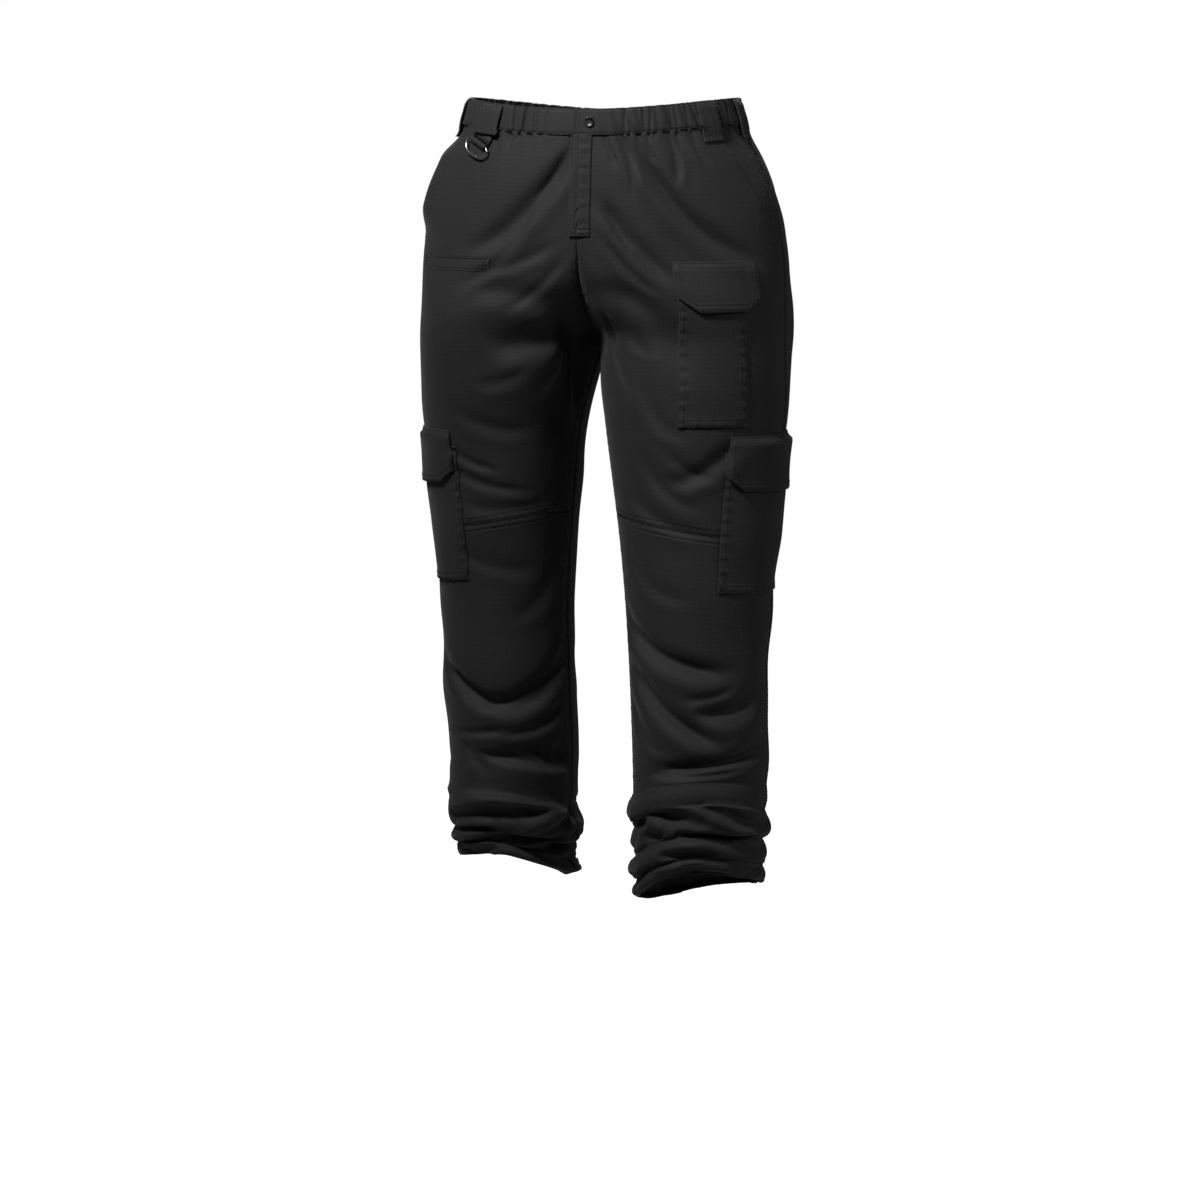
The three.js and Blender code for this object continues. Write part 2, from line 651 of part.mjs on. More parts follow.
function mesh(name, geometry, finish) {
  const made = new THREE.Mesh(geometry, new THREE.MeshStandardMaterial(finish));
  made.name = name;
  return made;
}

// Columns of a panel at one row, as distances round from the side seam.
const slashAcross = curveThrough(SLASH, 'row', 'across');

// Edges on the rise keep apart by themselves, and those of the inseam are drawn in by half the gap.
function seamInset(row) {
  return HALF_GAP * smooth(INSET_ROW, CROTCH_ROW, row);
}

function frontColumns(side, row) {
  const reach = girth(side, row) * FRONT_SHARE - seamInset(row);
  const set = [...COLUMNS[side].front];
  if (row <= SLASH_END_ROW) {
    const narrow = slashAcross(row) / set[SLASH_COLUMN];
    for (let j = 1; j <= SLASH_COLUMN; j += 1) set[j] *= narrow;
  }
  const start = set[set.length - 1];
  const flyEdge = reach - FLY_EDGE[side];
  for (let k = 1; k <= FRONT_MORE; k += 1) set.push(start + (flyEdge - start) * k / FRONT_MORE);
  set.push(reach);
  return set;
}

function backColumns(side, row) {
  const reach = girth(side, row) * (1 - FRONT_SHARE) - seamInset(row);
  const set = [...COLUMNS[side].back];
  const start = set[set.length - 1];
  for (let k = 1; k <= BACK_MORE; k += 1) set.push(start + (reach - start) * k / BACK_MORE);
  return set.map((across) => -across).reverse();
}

function stackRows(side) {
  const rows = [];
  ROLLS[side].forEach((roll, k) => {
    const next = k + 1 < ROLLS[side].length ? ROLLS[side][k + 1].top : HEM_ROW;
    const stepHeight = (next - roll.top) / ROLL_STEPS;
    for (let step = 0; step < ROLL_STEPS; step += 1) rows.push(roll.top + stepHeight * step);
  });
  rows.push(HEM_ROW);
  return rows;
}

// The column on the side seam moves off it by half the gap, to the front or the back.
function panelGrid(side, rows, columnsAt, seamAt) {
  return rows.map((row) => columnsAt(side, row).map((across) => {
    const beside = Math.abs(across) < HALF_GAP ? seamAt : across;
    return spot(side, beside, row);
  }));
}

function panel(name, grid, keep) {
  return mesh(name, wallGeometry(grid, { inner: () => -CLOTH, outer: () => 0, keep }), BLACK_CLOTH);
}

function insetEnds(rows) {
  const inset = [...rows];
  inset[0] += HALF_GAP;
  return inset;
}

function upperFront(side) {
  const rows = insetEnds(UPPER_ROWS);
  rows[rows.length - 1] -= HALF_GAP;
  const slashEnd = rows.indexOf(SLASH_END_ROW);
  const keep = (i, j) => (i < slashEnd && j < SLASH_COLUMN ? 'none' : 'both');
  return panel(`front_${side}`, panelGrid(side, rows, frontColumns, HALF_GAP), keep);
}

function lowerFront(side) {
  const rows = insetEnds([...LOWER_ROWS, ...stackRows(side)]);
  return panel(`front_lower_${side}`, panelGrid(side, rows, frontColumns, HALF_GAP));
}

function backPanel(side) {
  const rows = insetEnds([...UPPER_ROWS, ...LOWER_ROWS.slice(1), ...stackRows(side)]);
  return panel(`back_${side}`, panelGrid(side, rows, backColumns, -HALF_GAP));
}

// The facing behind a slash pocket starts flush at the side seam and runs in under the front's edge.
function hipFacing(side) {
  const rows = insetEnds(UPPER_ROWS.slice(0, UPPER_ROWS.indexOf(SLASH_END_ROW) + 1));
  rows[rows.length - 1] -= SEAM_GAP;
  const columnsAt = (_, row) => frontColumns(side, row).slice(0, SLASH_COLUMN + 2);
  const grid = panelGrid(side, rows, columnsAt, HALF_GAP);
  const sink = (i, j) => (j === 0 ? 0 : -FACING_SINK);
  const wall = wallGeometry(grid, { inner: (i, j) => sink(i, j) - CLOTH, outer: sink });
  return mesh(`hip_facing_${side}`, wall, BLACK_CLOTH);
}

// The waistband's gathers, as a wave round the body that lies flat under loops and at the front.
function gatherPhase(across) {
  return across / GATHER_PITCH + GATHER_DRIFT * Math.sin(2 * Math.PI * across / GATHER_DRIFT_PITCH);
}

function gatherLift(side, across) {
  let fullness = 1;
  for (const { from, to } of PLAIN_BAND[side]) {
    fullness *= 1 - smooth(from - GATHER_FADE, from, across) * (1 - smooth(to, to + GATHER_FADE, across));
  }
  return GATHER_HEIGHT * fullness * Math.cos(2 * Math.PI * gatherPhase(across));
}

// Columns at each crest and trough of the gathers, and wider apart where the band is plain.
function bandColumns(side, from, to) {
  const columns = [from];
  const halves = (across) => Math.floor(2 * gatherPhase(across));
  const lies = (across) => Math.abs(gatherLift(side, across)) < PLAIN_LIFT;
  for (let across = from + SEARCH_STEP; across < to; across += SEARCH_STEP) {
    const last = columns[columns.length - 1];
    const turned = halves(across) !== halves(across - SEARCH_STEP);
    const plain = lies(across) && lies(last);
    const due = plain ? across - last >= PLAIN_STEP : turned && across - last > LEAST_STEP;
    if (due && to - across > LEAST_STEP) columns.push(across);
  }
  columns.push(to);
  return columns;
}

// One column of band spots, all at the same share of the way round.
function bandLine(side, across, row) {
  const scale = girth(side, row) / girth(side, BAND_ROW / 2);
  return spot(side, across * scale, row);
}

function bandMesh(name, stretches) {
  const grid = BAND_ROWS.map((row) => stretches.flatMap(({ side, columns }) => columns
    .map((across) => bandLine(side, across, row))));
  const lifts = stretches.flatMap(({ side, columns, rise = () => 0 }) => columns
    .map((across) => gatherLift(side, across) + rise(across)));
  return mesh(name, wallGeometry(grid, {
    inner: (i, j) => lifts[j] - BAND_IN, outer: (i, j) => lifts[j] + BAND_OUT, free: true,
  }), BLACK_CLOTH);
}

function bandReach(side, share) {
  return girth(side, BAND_ROW / 2) * share;
}

function rightBand() {
  const end = bandReach('right', FRONT_SHARE) - BAND_LAP - SEAM_GAP;
  return bandMesh('waistband_right', [{ side: 'right', columns: bandColumns('right', HALF_GAP, end) }]);
}

function leftBand() {
  const centre = bandReach('left', FRONT_SHARE);
  const rise = (across) => LAP_RISE * (1 - smooth(LAP_FADE[0], LAP_FADE[1], centre - across));
  const past = [bandReach('right', FRONT_SHARE) - BAND_LAP];
  return bandMesh('waistband_left', [
    { side: 'left', columns: bandColumns('left', HALF_GAP, centre), rise },
    { side: 'right', columns: past, rise: () => LAP_RISE },
  ]);
}

function backBand() {
  const right = bandColumns('right', -bandReach('right', 1 - FRONT_SHARE) + 1, -HALF_GAP).reverse();
  const left = bandColumns('left', -bandReach('left', 1 - FRONT_SHARE) + 1, -HALF_GAP);
  return bandMesh('waistband_back', [{ side: 'right', columns: right }, { side: 'left', columns: left }]);
}

// The fly lap lies over both fronts, from its free edge on the right to its stitching on the left.
function flyPlacket() {
  const rows = insetEnds(UPPER_ROWS.slice(0, UPPER_ROWS.indexOf(FLY_END_ROW) + 1));
  const grid = rows.map((row) => {
    const right = frontColumns('right', row).slice(-2);
    const left = frontColumns('left', row).slice(-2).reverse();
    return [
      ...right.map((across) => spot('right', across, row)),
      ...left.map((across) => spot('left', across, row)),
    ];
  });
  return mesh('fly_placket', wallGeometry(grid, {
    inner: () => SEAM_GAP, outer: () => SEAM_GAP + CLOTH, free: true,
  }), BLACK_CLOTH);
}

// The welt of the thigh pocket is a narrow strip below its slit.
function thighWelt() {
  const grid = [WELT.top, WELT.bottom].map((row) => WELT.across.map((across) => spot('right', across, row)));
  return mesh('thigh_welt', wallGeometry(grid, {
    inner: () => SEAM_GAP, outer: () => SEAM_GAP + CLOTH,
  }), BLACK_CLOTH);
}

// A patch on a panel: its rows and columns are the panel's own, so that both have the same facets.
function patchGrid(side, fromRow, toRow, fromAcross, toAcross) {
  const all = [...UPPER_ROWS, ...LOWER_ROWS.slice(1)];
  const rows = all.filter((row) => row >= fromRow && row <= toRow);
  return rows.map((row) => {
    const front = frontColumns(side, row);
    const back = backColumns(side, row).slice(0, -1);
    const columns = [...back, ...front].filter((across) => across >= fromAcross && across <= toAcross);
    return columns.map((across) => ({ ...spot(side, across, row), across, row }));
  });
}

// 0 at the patch's sewn edges and 1 well inside them.
function puffAt(patch, across, row) {
  const sideways = Math.sin(Math.PI * clamp((across - patch.from) / (patch.to - patch.from), 0, 1));
  const down = smooth(patch.bottom, patch.bottom - patch.hang, row);
  return patch.puff * Math.sqrt(sideways) * down;
}

function pocket(name, side, patch) {
  const grid = patchGrid(side, patch.top, patch.bottom, patch.from, patch.to);
  const lift = (i, j) => SEAM_GAP + puffAt(patch, grid[i][j].across, grid[i][j].row);
  return mesh(name, wallGeometry(grid, { inner: lift, outer: (i, j) => lift(i, j) + CLOTH }), BLACK_CLOTH);
}

// A flap is sewn above its pocket, hangs over it, and has its two low corners cut off.
function flap(name, side, patch, rows) {
  const grid = patchGrid(side, rows.flapTop, rows.flapPoint, patch.flapFrom, patch.flapTo);
  const last = grid.length - 2;
  const lastColumn = grid[0].length - 2;
  const keep = (i, j) => {
    if (i === last && j === 0) return 'cut first low';
    if (i === last && j === lastColumn) return 'cut last low';
    return 'both';
  };
  const lift = (i, j) => {
    if (i === 0) return SEAM_GAP;
    const overPocket = SEAM_GAP + CLOTH + puffAt(patch, grid[i][j].across, patch.top);
    return SEAM_GAP + overPocket + FLAP_PUFF * i / (last + 1);
  };
  const wall = wallGeometry(grid, { inner: lift, outer: (i, j) => lift(i, j) + CLOTH, keep });
  return mesh(name, wall, BLACK_CLOTH);
}

function cargoPatch(side) {
  const from = -COLUMNS[side].back[CARGO_COLUMNS.back];
  const to = COLUMNS[side].front[CARGO_COLUMNS.front];
  return {
    top: CARGO.top, bottom: CARGO.bottom, from, to, flapFrom: from, flapTo: to,
    puff: CARGO_PUFF[side], hang: CARGO_HANG,
  };
}

function phonePatch() {
  const columns = COLUMNS.left.front;
  const to = columns[PHONE_COLUMNS.outer];
  return {
    top: PHONE.top, bottom: PHONE.bottom, from: columns[PHONE_COLUMNS.inner], to,
    flapFrom: columns[PHONE_COLUMNS.flap], flapTo: to, puff: PHONE_PUFF, hang: PHONE_HANG,
  };
}

// A belt loop is a strip sewn down at its top and bottom, standing a little off the cloth between.
function beltLoop({ name, side, across, half, run }) {
  const grid = run.map(({ row }) => {
    const line = [];
    for (let k = 0; k <= LOOP_COLUMNS; k += 1) {
      line.push(bandLine(side, across + half * (2 * k / LOOP_COLUMNS - 1), row));
    }
    return line;
  });
  return mesh(name, wallGeometry(grid, {
    inner: (i) => run[i].lift, outer: (i) => run[i].lift + LOOP_CLOTH, free: true,
  }), BLACK_CLOTH);
}

function backLoop() {
  const grid = LOOP_RUN.map(({ row }) => {
    const line = [];
    for (let k = -2; k <= 2; k += 1) {
      const side = k < 0 ? 'right' : 'left';
      const edge = girth(side, row) * (1 - FRONT_SHARE);
      line.push(spot(side, -(edge - Math.abs(k) * BACK_LOOP_HALF / 2), row));
    }
    return line;
  });
  return mesh('belt_loop_back', wallGeometry(grid, {
    inner: (i) => LOOP_RUN[i].lift, outer: (i) => LOOP_RUN[i].lift + LOOP_CLOTH, free: true,
  }), BLACK_CLOTH);
}

// A frame on the cloth: x round the body, y up the cloth along the chord of its reach, z out from it.
function clothFrame(side, across, row, lift, reach) {
  const { point, normal } = spot(side, across, row);
  const up = clothPoint(side, across, row - reach).sub(point).normalize();
  const round = up.clone().cross(normal).normalize();
  const out = round.clone().cross(up);
  const frame = new THREE.Group();
  frame.quaternion.setFromRotationMatrix(new THREE.Matrix4().makeBasis(round, up, out));
  frame.position.copy(point.addScaledVector(out, lift));
  return frame;
}

// A round wire along a closed flat path of points in the x-y plane.
function closedWire(path, radius) {
  const points = [];
  const count = path.length;
  path.forEach((here, k) => {
    const ahead = path[(k + 1) % count];
    const behind = path[(k + count - 1) % count];
    const along = new THREE.Vector2().subVectors(ahead, behind).normalize();
    for (let s = 0; s < WIRE_SIDES; s += 1) {
      const angle = 2 * Math.PI * (s + 0.5) / WIRE_SIDES;
      const aside = radius * Math.cos(angle);
      const up = radius * Math.sin(angle);
      points.push(new THREE.Vector3(here.x + along.y * aside, here.y - along.x * aside, up));
    }
  });
  const faces = [];
  for (let k = 0; k < count; k += 1) {
    for (let s = 0; s < WIRE_SIDES; s += 1) {
      const a = k * WIRE_SIDES + s;
      const b = k * WIRE_SIDES + (s + 1) % WIRE_SIDES;
      const c = ((k + 1) % count) * WIRE_SIDES + (s + 1) % WIRE_SIDES;
      const d = ((k + 1) % count) * WIRE_SIDES + s;
      faces.push([a, b, c], [a, c, d]);
    }
  }
  return closedGeometry(points, faces);
}

// The ring: a straight bar, tight corners and a bow that hangs below it.
function ringPath() {
  const path = [];
  const straight = RING_HALF - RING_CORNER;
  for (let k = 0; k <= BAR_STEPS; k += 1) path.push(new THREE.Vector2(straight * (2 * k / BAR_STEPS - 1), 0));
  for (let k = 1; k < RING_BEND_STEPS; k += 1) {
    const angle = Math.PI * k / RING_BEND_STEPS;
    const x = RING_HALF * signedPower(Math.cos(angle), RING_FLARE);
    const y = -RING_SHOULDER - (RING_DROP - RING_SHOULDER) * Math.sin(angle) ** RING_BELLY;
    path.push(new THREE.Vector2(x, y));
  }
  return path;
}

function dRing() {
  return mesh('d_ring', closedWire(ringPath(), WIRE), STEEL);
}

// The tab is a strip folded round the ring's bar, its two layers lying together on the cloth above it.
function ringTab() {
  const outline = new THREE.Shape();
  const outer = TAB_HOLE + TAB_CLOTH;
  const back = TAB_OFF - BAR_LIFT;
  const front = back + 2 * TAB_CLOTH;
  const spread = Math.asin(clamp(front / outer, -1, 1));
  const low = Math.asin(clamp(back / outer, -1, 1));
  outline.moveTo(TAB_LENGTH, back);
  outline.lineTo(TAB_LENGTH, front);
  outline.lineTo(outer * Math.cos(spread), front);
  outline.absarc(0, 0, outer, spread, 2 * Math.PI + low, false);
  outline.lineTo(TAB_LENGTH, back);
  const hole = new THREE.Path();
  hole.absarc(0, 0, TAB_HOLE, 0, 2 * Math.PI, true);
  outline.holes.push(hole);
  const strip = new THREE.ExtrudeGeometry(outline, {
    depth: 2 * TAB_HALF, bevelEnabled: false, curveSegments: TAB_SEGMENTS,
  });
  strip.deleteAttribute('normal');
  strip.deleteAttribute('uv');
  const tab = mesh('ring_tab', mergeVertices(strip), BLACK_CLOTH);
  tab.geometry.computeVertexNormals();
  // The outline's x runs up the cloth, its y out of it, and the strip's length lies along the bar.
  tab.quaternion.setFromRotationMatrix(new THREE.Matrix4().makeBasis(
    new THREE.Vector3(0, 1, 0), new THREE.Vector3(0, 0, 1), new THREE.Vector3(1, 0, 0),
  ));
  tab.position.x = -TAB_HALF;
  return tab;
}

function waistButton() {
  const profile = BUTTON_PROFILE.map(({ out, up }) => new THREE.Vector2(out, up));
  const lathe = new THREE.LatheGeometry(profile, BUTTON_SIDES);
  lathe.deleteAttribute('normal');
  lathe.deleteAttribute('uv');
  const button = mesh('waist_button', mergeVertices(lathe), DARK_STEEL);
  button.geometry.computeVertexNormals();
  button.rotation.x = Math.PI / 2;
  return button;
}

function legGroup(side) {
  const leg = new THREE.Group();
  leg.add(upperFront(side), lowerFront(side), backPanel(side), hipFacing(side));
  leg.add(pocket(`cargo_pocket_${side}`, side, cargoPatch(side)));
  leg.add(flap(`cargo_flap_${side}`, side, cargoPatch(side), CARGO));
  return leg;
}

function waistGroup() {
  const waist = new THREE.Group();
  waist.add(rightBand(), leftBand(), backBand(), flyPlacket(), backLoop());
  for (const loop of LOOPS) waist.add(beltLoop(loop));
  const centre = girth('left', BUTTON.row) * FRONT_SHARE;
  const onLap = BAND_OUT + LAP_RISE + SEAM_GAP;
  const onBand = clothFrame('left', centre - BUTTON.across, BUTTON.row, onLap, BUTTON.radius);
  onBand.add(waistButton());
  const bar = clothFrame('right', RING_ACROSS, BAR_ROW, BAR_LIFT, TAB_LENGTH);
  bar.add(ringTab(), dRing());
  waist.add(onBand, bar);
  return waist;
}

function frontPockets() {
  const pockets = new THREE.Group();
  pockets.add(pocket('phone_pocket', 'left', phonePatch()));
  pockets.add(flap('phone_flap', 'left', phonePatch(), PHONE));
  pockets.add(thighWelt());
  return pockets;
}

const trousers = new THREE.Group();
trousers.add(legGroup('right'), legGroup('left'), waistGroup(), frontPockets());

export default trousers;
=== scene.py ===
"""Cargo trousers in dark ripstop cloth, worn and empty.

The cloth is worked out in millimetres from the cut: a place is a leg, the distance round the body from its
side seam (more than 0 to the front) and the row, the distance down the cloth from the waist. Meshes are in
metres.
"""
import math

import bpy
import numpy as np
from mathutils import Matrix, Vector


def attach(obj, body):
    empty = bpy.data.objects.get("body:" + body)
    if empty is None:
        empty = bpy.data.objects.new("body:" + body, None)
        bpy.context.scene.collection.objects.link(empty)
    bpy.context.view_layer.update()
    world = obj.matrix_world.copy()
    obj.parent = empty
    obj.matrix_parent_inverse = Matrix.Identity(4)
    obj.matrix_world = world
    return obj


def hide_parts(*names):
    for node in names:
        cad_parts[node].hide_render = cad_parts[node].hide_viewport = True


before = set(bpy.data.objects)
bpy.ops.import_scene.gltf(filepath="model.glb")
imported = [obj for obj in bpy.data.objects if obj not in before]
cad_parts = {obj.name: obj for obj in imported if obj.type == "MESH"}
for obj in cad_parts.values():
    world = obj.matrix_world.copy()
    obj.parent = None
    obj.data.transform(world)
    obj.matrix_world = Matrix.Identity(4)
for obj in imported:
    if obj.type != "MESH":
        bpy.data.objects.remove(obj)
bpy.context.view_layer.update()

MM = 0.001

# Cloth and levels
CLOTH = 1.2
GAP = 0.3
# Sewn edges lie this far past each other, so that no light shows through a seam
SEAM_LAP = 0.1
LEAST_X = -SEAM_LAP
SIGN = {"right": -1.0, "left": 1.0}
BAND_ROW = 28.0
FLY_END_ROW = 138.0
SLASH_END_ROW = 150.0
CROTCH_ROW = 250.0
KNEE_ROW = 464.0
HEM_ROW = 848.0
FRONT_SHARE = 0.47

# The waist and hips: drop below the waist, half width, depth in front of and behind the middle
TORSO = [
    (-30, 142, 104, 104),
    (0, 148, 108, 112),
    (28, 157, 112, 121),
    (60, 173, 117, 131),
    (100, 189, 121, 139),
    (147, 198, 123, 142),
    (190, 201, 120, 138),
    (225, 202, 114, 131),
    (250, 203, 108, 124),
]
TORSO_SQUARENESS = 2.25
THIGH_SQUARENESS = 2.5
THIGH_BACK = 8.0
RISE_BEND = 118.0
RISE_SQUARENESS = 2.2
CLOSING_ANGLE = 45.0
CROTCH_SOFT = 9.0
CROTCH_REACH = 34.0

# Each leg: drop, how far out and back its middle lies, half width, half depth, squareness, turn of the inseam
LEG = {
    "right": [
        (250, 102, 8, 101, 116, 2.5, 0),
        (300, 109, 8, 94, 106, 2.4, 4),
        (345, 115, 12, 89, 97, 2.2, 8),
        (412, 116, 19, 83, 89, 2.1, 12),
        (457, 117, 23, 79, 84, 2.1, 12),
        (548, 119, 32, 73.5, 77, 2.1, 12),
        (640, 118.5, 40, 73, 76, 2.1, 12),
        (730, 116, 48, 71, 74, 2.1, 12),
        (780, 117, 53, 67, 70, 2.1, 12),
        (870, 116, 60, 61, 64, 2.1, 12),
    ],
    "left": [
        (250, 102, 8, 101, 116, 2.5, 0),
        (300, 102.5, -3, 100.5, 108, 2.4, 4),
        (345, 105, -12, 97, 101, 2.2, 8),
        (405, 107, -19, 90, 93, 2.1, 12),
        (448, 109, -23, 85.5, 88, 2.1, 12),
        (534, 113, -32, 79, 82, 2.1, 12),
        (620, 115.5, -40, 74.5, 78, 2.1, 12),
        (707, 118.5, -48, 72.5, 75, 2.1, 12),
        (750, 119, -53, 71, 72, 2.1, 12),
        (870, 121, -60, 64, 64, 2.1, 12),
    ],
}

WAIST_MEAN = -2.0
WAIST_WAVE = 6.0
WAIST_BACK = 3.0
WAIST_FADE = (20, 170)
KNEE_LIFT = 24.0
KNEE_PEAK = 1.5
KNEE_FADE = (330, 464, 580)
# The hem's drop at shares of the way round from the front of the inseam
HEM = {
    "right": [(0, 856), (0.1, 840), (0.21, 827), (0.36, 834), (0.5, 842), (0.7, 853), (0.85, 859), (1, 856)],
    "left": [
        (0, 856), (0.06, 847), (0.15, 828), (0.26, 818), (0.37, 826), (0.49, 838), (0.7, 853), (0.9, 864),
        (1, 856),
    ],
}
HEM_FADE = (680, 768)
SWAY = {"right": (10, 1, 0.05), "left": (7, 1, 0)}
SWAY_FADE = (700, 768, 800, 848)

# Rolls of the stacked ankle: top row, bulge, where round the leg it is fullest, and how much that varies
ROLLS = {
    "right": [(730, 4, 0.6, 0.4), (768, 12, 0.05, 0.3), (812, 7, 0.45, 0.3), (831, 9, 0.95, 0.4)],
    "left": [(736, 8, 0.95, 0.35), (768, 8, 0.45, 0.3), (800, 10, 0.9, 0.25), (829, 8, 0.9, 0.3)],
}
ROLL_GATHER = 0.55
ROLL_SAG = 0.12

# Folds: across and row where each starts, across and row where it ends, how far its middle bows, half width
# and depth, which is below 0 on a ridge. The largest are those of the solids, and the rest are finer creases.
LARGE_FOLDS = {
    "right": [
        (214, 44, 140, 152, 15, 12.6, 7.2), (25, 50, 25, 125, 0, 28.6, -9.6),
        (150, 196, 230, 212, -4, 12.6, 3.6), (165, 258, 235, 238, 6, 14.3, 6),
        (240, 212, 280, 330, 0, 14.3, 6), (62, 622, 204, 620, 34, 10.9, 7.2),
        (110, 726, 240, 716, -8, 12.6, 6), (-60, 196, -220, 150, 12, 16.8, 3),
        (-70, 300, -215, 272, 12, 15.1, 4.8), (-60, 470, -200, 448, 14, 13.4, 7.2),
        (-50, 520, -190, 540, -14, 13.4, 6), (-60, 650, -200, 622, 16, 12.6, 6),
        (-40, 722, -190, 735, -10, 11.8, 6),
    ],
    "left": [
        (158, 52, 72, 160, 18, 10.9, 6), (216, 104, 160, 182, 4, 10.1, 4.8),
        (230, 194, 150, 275, -14, 14.3, 6), (94, 364, 150, 408, 4, 10.1, 4.8),
        (214, 555, 82, 604, 8, 10.9, 7.2), (190, 606, 90, 678, 6, 10.1, 7.2),
        (102, 648, 40, 634, 4, 10.1, 6), (150, 716, 28, 688, 4, 10.9, 7.2),
        (-66, 190, -210, 144, 10, 16.8, 3), (-80, 292, -220, 282, 14, 15.1, 4.8),
        (-60, 452, -200, 470, -14, 13.4, 7.2), (-50, 545, -190, 520, 14, 13.4, 6),
        (-60, 630, -190, 660, -16, 12.6, 6), (-40, 735, -190, 712, 10, 11.8, 6),
    ],
}
FINE_CREASES = {
    "right": [
        (205, 46, 196, 92, 2, 4.5, 2.4), (190, 120, 130, 190, 10, 7.2, 2.4),
        (222, 150, 150, 178, 4, 6.3, 2.1), (236, 168, 188, 216, 4, 5.4, 2.2),
        (250, 232, 214, 306, 4, 5.4, 2.7), (262, 246, 242, 330, 2, 4.5, 2.7),
        (150, 300, 200, 282, 4, 7.2, 2), (120, 330, 190, 352, 6, 9, 2), (104, 372, 150, 400, 3, 5.4, 2.4),
        (104, 398, 176, 432, 4, 6.3, 2.4), (110, 440, 190, 452, 5, 7.2, 1.8),
        (96, 492, 170, 516, 6, 7.2, 1.8), (200, 520, 150, 560, 5, 8.1, 1.8), (62, 622, 119, 658, -2, 5, 3),
        (115, 658, 200, 620, 3, 5, 3), (204, 588, 150, 640, 8, 6.5, 2.4), (57, 690, 128, 684, 3, 5.5, 2.8),
        (78, 702, 104, 742, 3, 7, 2.6), (200, 664, 130, 690, 6, 6.5, 2.6), (96, 719, 222, 721, 5, 6.5, 3.4),
        (158, 704, 190, 738, -3, 7, 2.4), (10, 766, 200, 771, 0, 11, -8),
        (-30, 100, -110, 160, 6, 10.8, 1.8), (-210, 90, -150, 140, 8, 9, 2.1),
        (-230, 210, -140, 240, -8, 9, 2.7), (-90, 330, -190, 350, 8, 9, 2.2),
        (-50, 400, -150, 380, -8, 8.1, 2.2), (-90, 490, -170, 500, 6, 6.3, 3),
        (-40, 590, -130, 570, -6, 7.2, 2.7), (-80, 690, -180, 680, 8, 6.3, 3),
        (-20, 760, -120, 748, 5, 5.4, 2.7),
    ],
    "left": [
        (112, 26, 127, 78, 2, 4.5, 3.6), (145, 24, 143, 58, 0, 4, 2.7), (163, 23, 178, 88, 2, 4.5, 2.7),
        (92, 30, 88, 64, 0, 4, 2.1), (180, 26, 186, 60, 0, 3.6, 1.8), (150, 58, 112, 140, 10, 6.3, 3.3),
        (214, 108, 196, 150, 2, 4.5, 2.4), (222, 140, 176, 196, 6, 5.4, 2.4),
        (240, 226, 214, 300, 4, 5.4, 2.7), (222, 214, 186, 262, 6, 7.2, 2.2),
        (196, 296, 150, 352, 8, 8.1, 2), (160, 372, 110, 400, 6, 6.3, 2.2),
        (190, 380, 130, 436, 8, 8.1, 2.1), (206, 430, 120, 462, 8, 7.2, 2), (200, 500, 130, 530, 6, 7.2, 2),
        (204, 562, 92, 603, 6, 5, 3), (184, 614, 96, 674, 5, 4.5, 3), (118, 632, 72, 622, 2, 5, 2.6),
        (103, 648, 46, 634, 3, 5, 2.6), (200, 640, 150, 690, 5, 6, 2.2), (137, 714, 36, 689, 5, 6, 3.2),
        (150, 722, 60, 717, 8, 5, 2.6), (-34, 96, -120, 150, 6, 10.8, 1.8),
        (-205, 96, -150, 150, 8, 9, 2.1), (-225, 214, -150, 250, -8, 9, 2.7),
        (-90, 336, -190, 330, 8, 9, 2.2), (-56, 396, -150, 410, -8, 8.1, 2.2),
        (-90, 490, -170, 480, 6, 6.3, 3), (-40, 570, -130, 592, -6, 7.2, 2.7),
        (-80, 688, -180, 694, 8, 6.3, 3), (-20, 752, -120, 762, 5, 5.4, 2.7),
    ],
}
# Sharp creases in front of the stacked ankles, as the folds, each a slot under the roll that hangs over it
STACK_CREASES = {
    "right": [
        (38, 789, 166, 775, 3, 4.2, 9), (56, 802, 108, 799, 1, 3.4, 7), (44, 824, 184, 791, 11, 3.8, 9),
        (133, 804, 202, 776, 0, 4, 7.5), (50, 839, 104, 838, 1, 3.2, 6), (126, 832, 200, 806, 0, 3.6, 7),
        (140, 836, 198, 838, 1, 3.4, 5),
    ],
    "left": [
        (156, 767, 62, 789, 3, 4.6, 9), (97, 770, 4, 779, 5, 4.4, 9), (166, 782, 136, 790, 0, 3.8, 7.5),
        (123, 789, 24, 790, 9, 4.2, 10), (137, 813, 74, 818, 1, 3.2, 7.5), (112, 838, 86, 839, 0, 3, 5),
        (64, 836, 12, 835, 1, 3.2, 6), (142, 838, 30, 842, 3, 2.8, 3.5), (194, 756, 158, 777, 0, 3.8, 6),
        (180, 838, 150, 821, 0, 3.4, 5), (60, 806, 6, 808, 2, 3.4, 5),
    ],
}
CREASE_ROLL = 0.7
CREASE_BELOW = 1.5
# The stacked ankle's loose creases: spacing down the leg, depth and where they start, and where they set in
WRINKLES = {"right": (17.0, 5.2, 0.4), "left": (18.0, 5.2, 2.1)}
WRINKLE_FADE = (742, 772)
WRINKLE_IN_FRONT = 0.3
# Height of the drape's slight waves on the hips and on the shins
DRAPE = (0.5, 1.1)
DRAPE_START = {"right": 0.6, "left": 2.4}
FOLD_HELD = 0.045
FOLD_LIP = 0.35
FOLD_LIP_AWAY = 1.7
FOLD_END = 0.22

